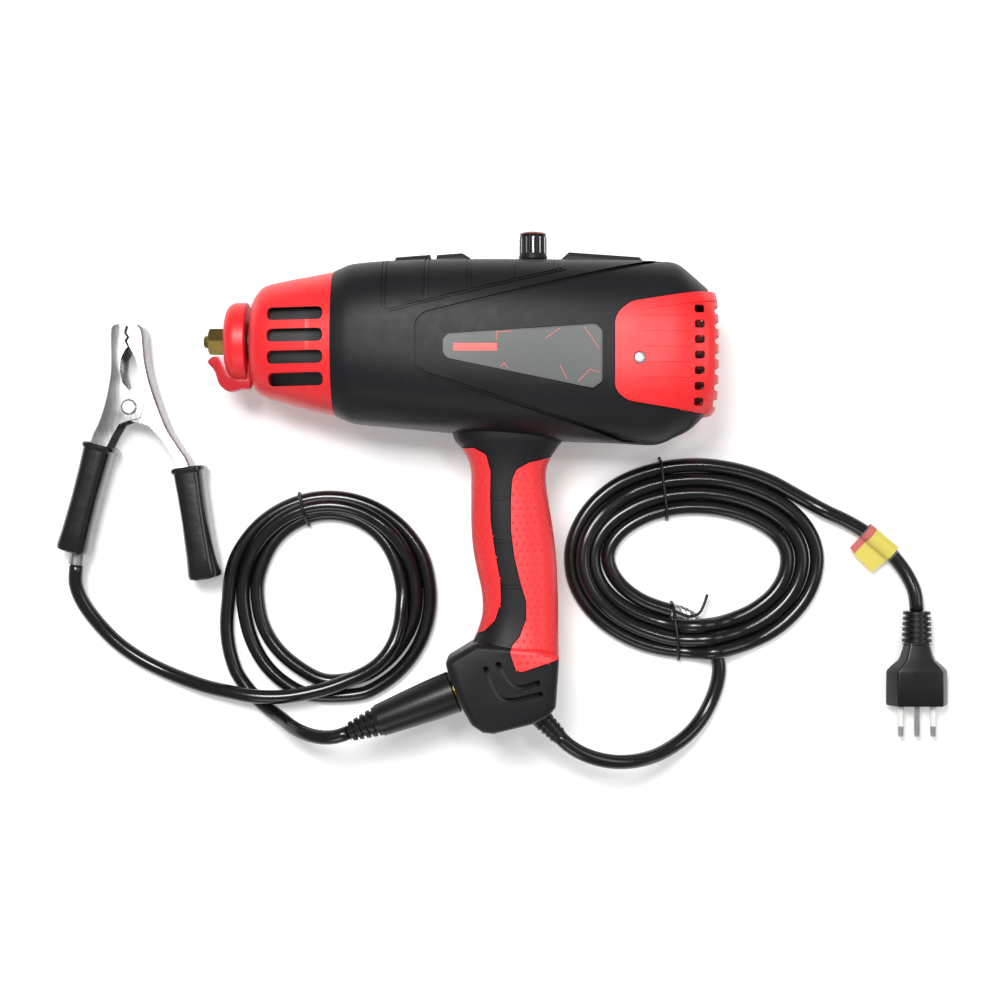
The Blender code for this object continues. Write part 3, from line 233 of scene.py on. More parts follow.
def finished(piece: Piece, name: str, material: bpy.types.Material, body: str,
             nodes: Sequence[str] = (), crease: float = 32.0) -> Piece:
    """Turns a shape into a shown piece that rides on a body.

    Args:
        piece: the shape.
        name: the piece's name.
        material: its finish.
        body: the body that it moves with.
        nodes: the plain nodes that it stands for.
        crease: the angle, in degrees, above which an edge stays sharp.

    Returns:
        The finished piece.
    """
    piece.name = piece.data.name = name
    piece.data.materials.clear()
    piece.data.materials.append(material)
    piece.data.shade_smooth()
    piece.data.set_sharp_from_angle(angle=math.radians(crease))
    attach(piece, body)
    if nodes:
        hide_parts(*nodes)
    LOG.info("%s: %d faces", name, len(piece.data.polygons))
    return piece


# ---------------------------------------------------------------- outlines and routes

def oval(centre: tuple[float, float], half: tuple[float, float], power: float, sides: int) -> Outline:
    """A superellipse: round at power 2 and squarer above."""
    points = []
    for index in range(sides):
        turn = math.tau * (index + 0.5) / sides
        share = (math.cos(turn), math.sin(turn))
        points.append(tuple(
            middle + size * math.copysign(abs(part) ** (2 / power), part)
            for middle, size, part in zip(centre, half, share)
        ))
    return points


def offset(outline: Outline, distance: float) -> Outline:
    """An outline moved outwards by a distance, or inwards by a negative one."""
    corners = [Vector(point) for point in outline]
    area = sum(a.x * b.y - a.y * b.x for a, b in zip(corners, corners[1:] + corners[:1]))
    side = math.copysign(1.0, area)
    moved = []
    for index, corner in enumerate(corners):
        before = (corner - corners[index - 1]).normalized()
        after = (corners[(index + 1) % len(corners)] - corner).normalized()
        normal = Vector((before.y + after.y, -before.x - after.x)).normalized() * side
        lean = max(0.4, normal.dot(Vector((after.y, -after.x)) * side))
        moved.append(tuple(corner + normal * distance / lean))
    return moved


def ribbon(route: Outline, width: float) -> Outline:
    """The outline of a strip of even width along an open route."""
    sides: tuple[list, list] = ([], [])
    points = [Vector(point) for point in route]
    for index, point in enumerate(points):
        before = (point - points[max(index - 1, 0)]).normalized() if index else None
        after = (points[index + 1] - point).normalized() if index < len(points) - 1 else None
        along = ((before or after) + (after or before)).normalized()
        across = Vector((-along.y, along.x))
        lean = max(0.5, abs(across.dot(Vector((-(after or before).y, (after or before).x)))))
        sides[0].append(tuple(point + across * width / 2 / lean))
        sides[1].append(tuple(point - across * width / 2 / lean))
    return sides[0] + sides[1][::-1]


def curve_through(rows: Sequence[Sequence[float]], per: int = 4) -> np.ndarray:
    """Rows along a smooth curve through the given ones.

    Args:
        rows: the rows to go through.
        per: how many steps lead from each row to the next.

    Returns:
        The new rows.
    """
    knots = np.array([np.array(rows[0]) * 2 - rows[1], *rows, np.array(rows[-1]) * 2 - rows[-2]], float)
    t = np.linspace(0, 1, per, endpoint=False)[:, None]
    fine = []
    for before, here, after, later in zip(knots, knots[1:], knots[2:], knots[3:]):
        slope, bend, twist = after - before, 2 * before - 5 * here + 4 * after - later, (
            3 * here - before - 3 * after + later)
        fine.append(0.5 * (2 * here + slope * t + bend * t**2 + twist * t**3))
    return np.vstack([*fine, knots[-2]])


def fine_route(route: Sequence[Sequence[float]], step: float) -> np.ndarray:
    """Points at even steps along a smooth curve through a route's points.

    Args:
        route: the points to go through.
        step: the distance between the new points.

    Returns:
        The new points, one row each.
    """
    line = curve_through(route, 16)
    walked = np.concatenate([[0], np.cumsum(np.linalg.norm(np.diff(line, axis=0), axis=1))])
    even = np.linspace(0, walked[-1], max(2, round(walked[-1] / step)) + 1)
    return np.column_stack([np.interp(even, walked, line[:, axis]) for axis in range(line.shape[1])])


def eased(outline: Outline, step: float = 1.5) -> Outline:
    """An outline's corners eased into one smooth curve."""
    return [tuple(row) for row in fine_route(outline, step)]


def length_of(line: np.ndarray) -> float:
    """The length of a line through points."""
    return float(np.linalg.norm(np.diff(line, axis=0), axis=1).sum())


def swept(line: np.ndarray, radius: float, sides: int = 20, loop: bool = False) -> Piece:
    """A round tube along a line, with domed ends.

    Args:
        line: points along its middle.
        radius: its radius.
        sides: corners round it.
        loop: whether its ends meet.

    Returns:
        The tube.
    """
    points = [Vector(point) for point in line]
    count = len(points)
    heads = []
    for index in range(count):
        before = points[index - 1] if index or loop else points[0]
        after = points[(index + 1) % count] if index < count - 1 or loop else points[-1]
        heads.append((after - before).normalized())
    side = heads[0].orthogonal().normalized()
    rings = []
    for point, head in zip(points, heads):
        side = (side - head * side.dot(head)).normalized()
        up = head.cross(side)
        turns = [math.tau * index / sides for index in range(sides)]
        rings.append([point + (side * math.cos(t) + up * math.sin(t)) * radius for t in turns])
    if loop:
        return loft(rings, closed=True)
    for end, inner in ((0, 1), (-1, -1)):
        centre, push = points[end], heads[end] * (-0.25 if end == 0 else 0.25) * radius
        cap = [centre + (corner - centre) * 0.8 + push for corner in map(Vector, rings[end])]
        if end == 0:
            rings.insert(0, cap)
        else:
            rings.append(cap)
    return loft(rings)


def settled(line: np.ndarray, free: np.ndarray, radius: float, rounds: int = 260) -> np.ndarray:
    """Lets a coiled cord lie down: its turns rest on the floor and on each other without sinking in.

    Args:
        line: points along the cord, at even steps below its diameter.
        free: how far each point may move, from 0 for one that is held to 1.
        radius: the cord's radius.
        rounds: how many times it is eased.

    Returns:
        The points where the cord comes to rest.
    """
    place, home = line.copy(), line.copy()
    count = len(line)
    step = length_of(line) / (count - 1)
    apart = math.ceil(3.2 * radius / step)
    first, second = np.triu_indices(count, apart)
    near = np.linalg.norm(line[first, :2] - line[second, :2], axis=1) < 5 * radius
    first, second = first[near], second[near]
    hold = free[:, None]
    for _ in range(rounds):
        pull = np.zeros_like(place)
        pull[:, :2] = (home[:, :2] - place[:, :2]) * 0.2
        pull[:, 2] = np.maximum(radius - place[:, 2], -0.06)
        place += pull * hold
        between = place[first] - place[second]
        distance = np.maximum(np.linalg.norm(between, axis=1), 1e-6)
        short = np.maximum(0, 2 * radius + 0.1 - distance)
        lift = between / distance[:, None]
        lift[:, 2] += np.where(np.abs(lift[:, 2]) < 0.2, -0.25, 0) * (short > 0)
        push = lift * (short * 0.5)[:, None]
        total, hits = np.zeros_like(place), np.zeros(count)
        np.add.at(total, first, push)
        np.add.at(total, second, -push)
        np.add.at(hits, first, short > 0)
        np.add.at(hits, second, short > 0)
        place += total / np.maximum(1, hits)[:, None] ** 0.5 * hold
        smooth = place.copy()
        smooth[1:-1] = (place[:-2] + place[2:]) / 2
        place += (smooth - place) * 0.3 * hold
        place[:, 2] = np.maximum(place[:, 2], radius)
    return place


# ---------------------------------------------------------------- shader nodes

class Sock:
    """A shader value that takes part in arithmetic; each operation adds a Math node."""

    def __init__(self, shade: "Shade", socket: bpy.types.NodeSocket) -> None:
        """Wraps a socket of a shade's node tree."""
        self.shade = shade
        self.socket = socket

    def _maths(self, operation: str, *others: Any) -> "Sock":
        """Adds one Math node on this value and the others."""
        return self.shade.add("ShaderNodeMath", {"operation": operation}, dict(enumerate((self, *others))))

    def __add__(self, other: Any) -> "Sock":
        """This value plus another."""
        return self._maths("ADD", other)

    __radd__ = __add__

    def __mul__(self, other: Any) -> "Sock":
        """This value times another."""
        return self._maths("MULTIPLY", other)

    __rmul__ = __mul__

    def __sub__(self, other: Any) -> "Sock":
        """This value less another."""
        return self._maths("SUBTRACT", other)

    def __rsub__(self, other: Any) -> "Sock":
        """Another value less this one."""
        return self.shade.add("ShaderNodeMath", {"operation": "SUBTRACT"}, {0: other, 1: self})

    def limited(self) -> "Sock":
        """This value kept between 0 and 1."""
        return self.shade.add("ShaderNodeClamp", {}, {0: self})


class Shade:
    """One material, its surface shader and the nodes that feed it."""

    def __init__(self, name: str) -> None:
        """Starts a material with an empty Principled surface."""
        self.material = bpy.data.materials.new(name)
        self.material.use_nodes = True
        self.tree = self.material.node_tree
        self.surface = self.tree.nodes["Principled BSDF"]
        self.place = self.add("ShaderNodeTexCoord", {}, {}, "Object")

    def add(self, kind: str, settings: dict[str, Any], inputs: dict[Any, Any], output: Any = 0) -> Sock:
        """Adds a node.

        Args:
            kind: the node's type.
            settings: its own settings, made first; "stops" sets a ramp's positions and colours.
            inputs: values or links by socket name or number.
            output: the socket to give back.

        Returns:
            The node's output.
        """
        node = self.tree.nodes.new(kind)
        for key, value in settings.items():
            if key == "stops":
                ramp = node.color_ramp
                while len(ramp.elements) < len(value):
                    ramp.elements.new(1.0)
                for element, (position, color) in zip(ramp.elements, value):
                    element.position, element.color = position, (*color, 1)
            else:
                setattr(node, key, value)
        for key, value in inputs.items():
            if isinstance(value, Sock):
                self.tree.links.new(value.socket, node.inputs[key])
            else:
                node.inputs[key].default_value = value
        return Sock(self, node.outputs[output])

    def noise(self, scale: float, detail: float = 3.0, stretch: Sequence[float] = (1, 1, 1)) -> Sock:
        """A noise value over the object, with features of 1 / scale metres, stretched along the axes."""
        spot = self.add("ShaderNodeMapping", {}, {"Vector": self.place, "Scale": stretch})
        return self.add("ShaderNodeTexNoise", {}, {"Vector": spot, "Scale": scale, "Detail": detail}, "Fac")

    def axis(self, name: str) -> Sock:
        """The object's X, Y or Z, in metres."""
        return self.add("ShaderNodeSeparateXYZ", {}, {"Vector": self.place}, name)

    def blend(self, share: Any, first: Any, second: Any) -> Sock:
        """A colour between two others."""
        colors = [value if isinstance(value, Sock) else (*value, 1) for value in (first, second)]
        return self.add("ShaderNodeMix", {"data_type": "RGBA"}, {0: share, 6: colors[0], 7: colors[1]}, 2)

    def bump(self, height: Sock, depth: float, strength: float = 1.0, under: Sock | None = None) -> Sock:
        """A normal from a height, whose full range is depth metres."""
        inputs = {"Height": height, "Distance": depth, "Strength": strength}
        if under is not None:
            inputs["Normal"] = under
        return self.add("ShaderNodeBump", {}, inputs)

    def set(self, **values: Any) -> None:
        """Sets surface sockets: a name's underscores are spaces."""
        for key, value in values.items():
            socket = self.surface.inputs[key.replace("_", " ")]
            if isinstance(value, Sock):
                self.tree.links.new(value.socket, socket)
            else:
                socket.default_value = (*value, 1) if isinstance(value, tuple) and len(value) == 3 else value


@dataclass(frozen=True)
class Moulded:
    """A moulded plastic or rubber with a fine texture and slight marks of use."""

    name: str
    color: tuple[float, float, float]
    roughness: float
    grain: float = 1400.0
    grain_depth: float = 0.00004
    cloud: float = 0.12
    coat: float = 0.0
    specular: float = 0.5
    glow: float = 0.0

    def material(self) -> bpy.types.Material:
        """Builds the finish."""
        shade = Shade(f"finish_{self.name}")
        cloud = shade.noise(18, 4)
        scuff = shade.noise(160, 6, (1, 1, 3))
        light = tuple(min(1, part * (1 + self.cloud) + 0.004) for part in self.color)
        dark = tuple(part * (1 - self.cloud) for part in self.color)
        rough = self.roughness + (scuff - 0.5) * 0.14 + (cloud - 0.5) * 0.1
        shade.set(
            Base_Color=shade.blend(cloud, dark, light), Roughness=rough.limited(), IOR=1.5,
            Coat_Weight=self.coat, Coat_Roughness=0.12, Specular_IOR_Level=self.specular,
            Emission_Color=(1.0, 1.0, 1.0), Emission_Strength=self.glow,
            Normal=shade.bump(shade.noise(self.grain, 2), self.grain_depth),
        )
        return shade.material


@dataclass(frozen=True)
class Metal:
    """A plated, drawn or machined metal."""

    name: str
    color: tuple[float, float, float]
    roughness: float
    stretch: tuple[float, float, float] = (1, 1, 1)
    line_scale: float = 500.0
    line_depth: float = 0.00002
    stain: float = 0.25
    metallic: float = 1.0

    def material(self) -> bpy.types.Material:
        """Builds the finish."""
        shade = Shade(f"finish_{self.name}")
        lines = shade.noise(self.line_scale, 4, self.stretch)
        cloud = shade.noise(45, 5)
        dull = tuple(part * (1 - self.stain) for part in self.color)
        rough = self.roughness + (lines - 0.5) * 0.2 + (cloud - 0.5) * 0.25
        shade.set(
            Base_Color=shade.blend(((cloud - 0.4) * 3.0).limited(), dull, self.color), Metallic=self.metallic,
            Roughness=rough.limited(), Normal=shade.bump(lines, self.line_depth),
        )
        return shade.material


@dataclass(frozen=True)
class Printed:
    """The name plate's dark sheet, which is lighter towards one end."""

    name: str
    ends: tuple[float, float]
    dark: tuple[float, float, float]
    light: tuple[float, float, float]

    def material(self) -> bpy.types.Material:
        """Builds the finish."""
        shade = Shade(f"finish_{self.name}")
        low, high = self.ends
        share = ((shade.axis("X") - low) * (1 / (high - low)) + (shade.axis("Y") - 0.067) * 9.0).limited()
        grain = shade.noise(900, 2)
        shade.set(Base_Color=shade.blend(share, self.dark, self.light),
                  Roughness=0.3 + (grain - 0.5) * 0.1, Normal=shade.bump(grain, 0.00001), Coat_Weight=0.3)
        return shade.material


@dataclass(frozen=True)
class Clear:
    """A clear or tinted plastic that shows what is behind it."""

    name: str
    color: tuple[float, float, float]
    alpha: float
    roughness: float = 0.12

    def material(self) -> bpy.types.Material:
        """Builds the finish."""
        shade = Shade(f"finish_{self.name}")
        cloud = shade.noise(120, 3)
        shade.set(Base_Color=self.color, Roughness=self.roughness + cloud * 0.1, Alpha=self.alpha,
                  Normal=shade.bump(shade.noise(300, 2), 0.00003))
        return shade.material


class Finish(Enum):
    """Every finish on the welder and its cords."""

    HOUSING = Moulded("housing_black", (0.0095, 0.0088, 0.0105), 0.42, 1500, 0.00007, 0.15, specular=0.17)
    NOSE = Moulded("nose_red", (0.80, 0.016, 0.020), 0.4, 1300, 0.00002, 0.04)
    GRIP = Moulded("grip_red", (0.82, 0.026, 0.030), 0.45, 1100, 0.00003, 0.04)
    # a darker red than the cone: partly the wing's own plastic, partly painted shade
    WING = Moulded("wing_red", (0.55, 0.016, 0.026), 0.2, 500, 0.00002, 0.1, coat=0.5)
    PLATE = Printed("plate_grey", (0.02, 0.085), (0.004, 0.006, 0.0056), (0.020, 0.028, 0.027))
    PRINT_RED = Moulded("print_red", (0.7, 0.07, 0.05), 0.4, 900, 0.00001, 0.05)
    PRINT_BLACK = Moulded("print_black", (0.008, 0.009, 0.009), 0.35, 900, 0.00001, 0.05)
    BRASS = Metal("brass", (0.32, 0.23, 0.065), 0.4, (1, 12, 12), 260, 0.00003, 0.3)
    STEEL = Metal("bright_steel", (0.70, 0.70, 0.69), 0.25, (1, 6, 1), 300, metallic=0.7)
    ZINC = Metal("zinc_plate", (0.50, 0.51, 0.52), 0.3, (6, 1, 1), 120, 0.00004, 0.35, metallic=0.8)
    SPRING = Metal("spring_steel", (0.42, 0.42, 0.41), 0.3)
    COPPER = Metal("copper", (0.82, 0.36, 0.18), 0.33, (1, 8, 1), 400)
    ALUMINIUM = Metal("aluminium", (0.72, 0.73, 0.74), 0.35, (12, 1, 1), 300)
    BOARD = Moulded("board_green", (0.02, 0.16, 0.07), 0.4, 700, 0.00002, 0.2, coat=0.4)
    FERRITE = Moulded("ferrite", (0.045, 0.045, 0.05), 0.6, 900, 0.00006, 0.2)
    INNER = Moulded("inner_black", (0.03, 0.03, 0.032), 0.5, 900, 0.00004, 0.1)
    BROWN = Moulded("cap_brown", (0.24, 0.06, 0.04), 0.25, 700, 0.00001, 0.1, coat=0.4)
    RUBBER = Moulded("black_rubber", (0.005, 0.005, 0.0055), 0.32, 900, 0.00003, 0.12, specular=0.35)
    JACKET = Moulded("cable_jacket", (0.004, 0.004, 0.0045), 0.2, 260, 0.00002, 0.1, specular=0.5)
    DIP = Moulded("handle_dip", (0.006, 0.006, 0.0065), 0.25, 160, 0.00012, 0.1, coat=0.5, specular=0.3)
    YELLOW = Moulded("tag_yellow", (0.86, 0.72, 0.03), 0.35, 400, 0.00002, 0.08)
    WHITE = Moulded("pin_sleeve", (0.84, 0.83, 0.80), 0.35, 500, 0.00001, 0.04)
    CLEAR = Clear("clear_sleeve", (0.5, 0.5, 0.48), 0.1)
    FOIL = Metal("tape_silver", (0.66, 0.66, 0.67), 0.32, (1, 1, 1), 90, 0.0004, 0.4)
    FLOOR = Moulded("pale_floor", (0.93, 0.93, 0.93), 0.6, 40, 0.00001, 0.01, glow=0.2)

    @property
    def material(self) -> bpy.types.Material:
        """The finish's material, made once."""
        return bpy.data.materials.get(f"finish_{self.value.name}") or self.value.material()


# ---------------------------------------------------------------- rule-shaped pieces

class Rule:
    """A Geometry Nodes tree built by the script, run once on a mesh and baked into it."""

    def __init__(self, name: str, inputs: dict[str, tuple[str, Any]]) -> None:
        """Starts a tree with named inputs.

        Args:
            name: the tree's name.
            inputs: socket type and default value by input name.
        """
        self.tree = bpy.data.node_groups.new(name, "GeometryNodeTree")
        face = self.tree.interface
        face.new_socket("Geometry", in_out="INPUT", socket_type="NodeSocketGeometry")
        face.new_socket("Geometry", in_out="OUTPUT", socket_type="NodeSocketGeometry")
        self.named: dict[str, str] = {}
        self.values: dict[str, Any] = {}
        for key, (kind, value) in inputs.items():
            self.named[key] = face.new_socket(key, in_out="INPUT", socket_type=kind).identifier
            self.values[key] = value
        self.entry = self.tree.nodes.new("NodeGroupInput")
        self.exit = self.tree.nodes.new("NodeGroupOutput")

    def add(self, kind: str, settings: dict[str, Any], inputs: dict[Any, Any], output: Any = 0) -> Any:
        """Adds a node and gives back one of its outputs."""
        node = self.tree.nodes.new(kind)
        for key, value in settings.items():
            setattr(node, key, value)
        for key, value in inputs.items():
            if isinstance(value, bpy.types.NodeSocket):
                self.tree.links.new(value, node.inputs[key])
            else:
                node.inputs[key].default_value = value
        return node.outputs[output]

    def bake(self, base: Piece, geometry: Any, material: bpy.types.Material) -> Piece:
        """Ends the tree with Realize Instances and Set Material, runs it on a base and keeps the mesh."""
        real = self.add("GeometryNodeRealizeInstances", {}, {0: geometry})
        done = self.add("GeometryNodeSetMaterial", {}, {"Geometry": real, "Material": material})
        self.tree.links.new(done, self.exit.inputs[0])
        modifier = base.modifiers.new("rule", "NODES")
        modifier.node_group = self.tree
        for key, identifier in self.named.items():
            modifier[identifier] = self.values[key]
        graph = bpy.context.evaluated_depsgraph_get()
        mesh = bpy.data.meshes.new_from_object(base.evaluated_get(graph))
        base.modifiers.clear()
        base.data = mesh
        return base


def copies_on(points: Sequence[Sequence[float]], turns: Sequence[Sequence[float]], shape: Piece,
              material: bpy.types.Material, size: float = 1.0) -> Piece:
    """Puts a copy of a small shape on every point.

    Args:
        points: where the copies stand, in millimetres.
        turns: the Euler angles of each copy, in radians.
        shape: what is copied; it is removed.
        material: the copies' finish.
        size: the copies' scale.

    Returns:
        One mesh with every copy.
    """
    rule = Rule("copies", {"Size": ("NodeSocketFloat", size)})
    base = as_object("shape", points, [])
    turn = base.data.attributes.new("turn", "FLOAT_VECTOR", "POINT")
    turn.data.foreach_set("vector", [value for row in turns for value in row])
    source = rule.add("GeometryNodeObjectInfo", {"transform_space": "ORIGINAL"}, {"Object": shape},
                      "Geometry")
    angle = rule.add("GeometryNodeInputNamedAttribute", {"data_type": "FLOAT_VECTOR"}, {"Name": "turn"})
    scale = rule.add("ShaderNodeCombineXYZ", {}, {axis: rule.entry.outputs["Size"] for axis in (0, 1, 2)})
    placed = rule.add("GeometryNodeInstanceOnPoints", {}, {
        "Points": rule.entry.outputs["Geometry"], "Instance": source, "Rotation": angle, "Scale": scale})
    whole = rule.bake(base, placed, material)
    bpy.data.objects.remove(shape)
    return whole


def ribbed(start: Sequence[float], heading: Sequence[float], length: float, radii: tuple[float, float],
           ribs: int, depth: float, material: bpy.types.Material) -> Piece:
    """A strain relief: a tapered tube whose outside is stepped into ribs by rule.

    Args:
        start: the point at its thick end.
        heading: its axis.
        length: its length.
        radii: its radius at the thick end and at the thin one.
        ribs: how many ribs it has.
        depth: how deep the grooves between the ribs are.
        material: its finish.

    Returns:
        The relief.
    """
    steps = ribs * 16
    rule = Rule("ribs", {"Ribs": ("NodeSocketFloat", float(ribs)), "Depth": ("NodeSocketFloat", depth * MM)})
    profile = [(length * step / steps, radii[0] + (radii[1] - radii[0]) * step / steps)
               for step in range(steps + 1)]
    base = turned(profile, start, heading, 40)
    share = base.data.attributes.new("share", "FLOAT", "POINT")
    away = base.data.attributes.new("away", "FLOAT_VECTOR", "POINT")
    along, origin = Vector(heading).normalized(), Vector(start) * MM
    shares, sides = [], []
    for vert in base.data.vertices:
        reach = (vert.co - origin).dot(along)
        shares.append(reach / (length * MM))
        sides += [*(vert.co - origin - along * reach).normalized()]
    share.data.foreach_set("value", shares)
    away.data.foreach_set("vector", sides)
    spot = rule.add("GeometryNodeInputNamedAttribute", {"data_type": "FLOAT"}, {"Name": "share"})
    side = rule.add("GeometryNodeInputNamedAttribute", {"data_type": "FLOAT_VECTOR"}, {"Name": "away"})
    phase = rule.add("ShaderNodeMath", {"operation": "MULTIPLY"}, {0: spot, 1: rule.entry.outputs["Ribs"]})
    part = rule.add("ShaderNodeMath", {"operation": "FRACT"}, {0: phase})
    groove = rule.add("ShaderNodeMath", {"operation": "GREATER_THAN"}, {0: part, 1: 0.62})
    sink = rule.add("ShaderNodeMath", {"operation": "MULTIPLY"}, {0: groove, 1: rule.entry.outputs["Depth"]})
    back = rule.add("ShaderNodeMath", {"operation": "MULTIPLY"}, {0: sink, 1: -1.0})
    shift = rule.add("ShaderNodeVectorMath", {"operation": "SCALE"}, {0: side, 3: back})
    moved = rule.add("GeometryNodeSetPosition", {}, {
        "Geometry": rule.entry.outputs["Geometry"], "Offset": shift})
    return rule.bake(base, moved, material)


# ---------------------------------------------------------------- camera and light

@dataclass
class Studio:
    """The camera above the welder, the pale floor and the soft light."""

    stand: tuple[float, float, float] = (0.0238, -0.0108, 1.05)
    lens: float = 63.3
    sensor: float = 36.0
    floor_reach: float = 9000.0
    floor_heights: tuple[float, float] = (-6.0, -0.4)
    sky: float = 0.25
    # each lamp's place, where it points, its width and its power
    lamps: tuple[tuple[str, tuple[float, ...], tuple[float, ...], float, float], ...] = (
        ("key_light", (-0.2, 0.4, 1.3), (0.0, 0.0, 0.0), 0.45, 15.0),
        ("fill_light", (1.05, 0.1, 0.9), (0.05, 0.0, 0.0), 0.7, 3.0),
        ("top_light", (0.25, 0.25, 1.5), (0.0, 0.0, 0.0), 0.15, 3.0),
        ("low_light", (-0.2, -1.2, 0.9), (0.0, 0.0, 0.0), 0.7, 3.0),
    )

    def build(self) -> None:
        """Places everything that isn't the welder."""
        scene = bpy.context.scene
        camera = bpy.data.objects.new("camera", bpy.data.cameras.new("camera"))
        camera.data.lens, camera.data.sensor_width = self.lens, self.sensor
        camera.data.clip_start = 0.05
        camera.location = self.stand
        scene.collection.objects.link(camera)
        scene.camera = camera
        reach, (low, high) = self.floor_reach, self.floor_heights
        sheet = box((-reach, -reach, low), (reach, reach, high))
        sheet.name = "floor"
        sheet.data.materials.append(Finish.FLOOR.material)
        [self.lamp(*row) for row in self.lamps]
        world = scene.world or bpy.data.worlds.new("world")
        scene.world = world
        world.use_nodes = True
        sky = world.node_tree.nodes["Background"]
        sky.inputs["Color"].default_value = (1.0, 1.0, 1.0, 1)
        sky.inputs["Strength"].default_value = self.sky
        scene.view_settings.view_transform = "Standard"

    @staticmethod
    def lamp(name: str, place: Sequence[float], aim: Sequence[float], size: float, power: float) -> Piece:
        """A round soft lamp that points at a spot."""
        lamp = bpy.data.objects.new(name, bpy.data.lights.new(name, "AREA"))
        lamp.data.shape, lamp.data.size, lamp.data.energy = "DISK", size, power
        lamp.location = place
        lamp.rotation_euler = (Vector(aim) - Vector(place)).to_track_quat("-Z", "Y").to_euler()
        bpy.context.scene.collection.objects.link(lamp)
        return lamp


# ---------------------------------------------------------------- cords

@dataclass
class Coil:
    """One cord from its exit, through its coil, to its far end, laid on the floor."""

    name: str
    radius: float
    lead: Sequence[Sequence[float]]
    turns: Sequence[Sequence[float]]
    tail: Sequence[Sequence[float]]
    far_end: str
    nodes: Sequence[str]
    carried: Sequence[str]
    line: np.ndarray = field(default_factory=lambda: np.zeros((0, 3)))

    def build(self) -> Piece:
        """Lets the cord settle and sweeps a tube along it.

        Returns:
            The cord.
        """
        route = [*self.lead, *self.turns, *self.tail]
        line = fine_route(route, 3.4)
        head, foot = (self.nearest(line, end) for end in (self.lead[-1], self.tail[0]))
        free = np.ones(len(line))
        rank = np.arange(len(line))
        free *= np.clip((rank - head) / 6, 0, 1) * np.clip((foot - rank) / 6, 0, 1)
        self.line = settled(line, free, self.radius)
        return swept(self.line, self.radius, 24)

    @staticmethod
    def nearest(line: np.ndarray, point: Sequence[float]) -> int:
        """The number of the line's point that is nearest to a point."""
        return int(np.argmin(np.linalg.norm(line - np.array(point), axis=1)))

    def strands_near(self, point: Outline, along: tuple[float, float], reach: float) -> np.ndarray:
        """Where the coil's strands cross an upright plane.

        Args:
            point: a point of the plane, in x and y.
            along: the plane's heading, in x and y.
            reach: how far along the heading to look.

        Returns:
            Distances along the heading, and heights.
        """
        heading = np.array(along) / np.linalg.norm(along)
        across = np.array((-heading[1], heading[0]))
        found = []
        for here, there in zip(self.line, self.line[1:]):
            before, after = (here[:2] - point) @ across, (there[:2] - point) @ across
            if before * after <= 0 and before != after:
                spot = here + (there - here) * before / (before - after)
                distance = (spot[:2] - point) @ heading
                if 0 < distance < reach:
                    found.append((distance, spot[2]))
        return np.array(found)

    def resting(self, route: Outline, wire: float) -> list[tuple[float, float, float]]:
        """Heights for a stiff wire that lies over the cord's strands and stands out past them.

        Args:
            route: the wire's way, in x and y.
            wire: the wire's radius.

        Returns:
            The route with its heights.
        """
        spots: list[tuple[float, float, float]] = []
        reach = self.radius + wire
        for x, y in route:
            beside = np.hypot(self.line[:, 0] - x, self.line[:, 1] - y)
            under = beside < reach
            tops = [*(self.line[under, 2] + np.sqrt(reach**2 - beside[under] ** 2)), wire]
            spots.append((x, y, float(max(*tops, spots[-1][2] - 0.3 if spots else wire))))
        return spots

    def tie(self, point: tuple[float, float], along: tuple[float, float], reach: float, lift: float) -> Piece:
        """A wire pulled round the strands where they cross an upright plane."""
        spots = self.strands_near(point, along, reach)
        turns = np.linspace(0, math.tau, 24, endpoint=False)
        around = self.radius + lift
        cloud = [(d + around * math.cos(t), max(lift + 0.1, z + around * math.sin(t)))
                 for d, z in spots for t in turns]
        heading = Vector(along).normalized()
        ring = [(point[0] + heading.x * d, point[1] + heading.y * d, z) for d, z in hull(cloud)]
        return swept(fine_route([*ring, ring[0]], 1.2)[:-1], lift, 10, loop=True)

    def declare(self, piece: Piece) -> None:
        path = [[part * MM for part in row] for row in self.line]
        [part * MM for part in self.lead[0]]
        self.radius * 2 * MM


def hull(cloud: Sequence[tuple[float, float]]) -> Outline:
    """The convex outline round a cloud of points."""
    points = sorted(set(cloud))
    ends: list[list] = []
    for row in (points, points[::-1]):
        side: list[tuple[float, float]] = []
        for point in row:
            while len(side) > 1 and ((side[-1][0] - side[-2][0]) * (point[1] - side[-2][1])
                                     - (side[-1][1] - side[-2][1]) * (point[0] - side[-2][0])) <= 0:
                side.pop()
            side.append(point)
        ends.append(side[:-1])
    return ends[0] + ends[1]


def lane(centre: tuple[float, float], half: tuple[float, float], start: float, end: float, height: float,
         steps: int) -> list[tuple[float, float, float]]:
    """Points clockwise along part of an oval lane, between two angles in degrees."""
    points = []
    for step in range(steps):
        turn = math.radians(start + (end - start) * step / steps)
        points.append((centre[0] + half[0] * math.cos(turn), centre[1] + half[1] * math.sin(turn), height))
    return points


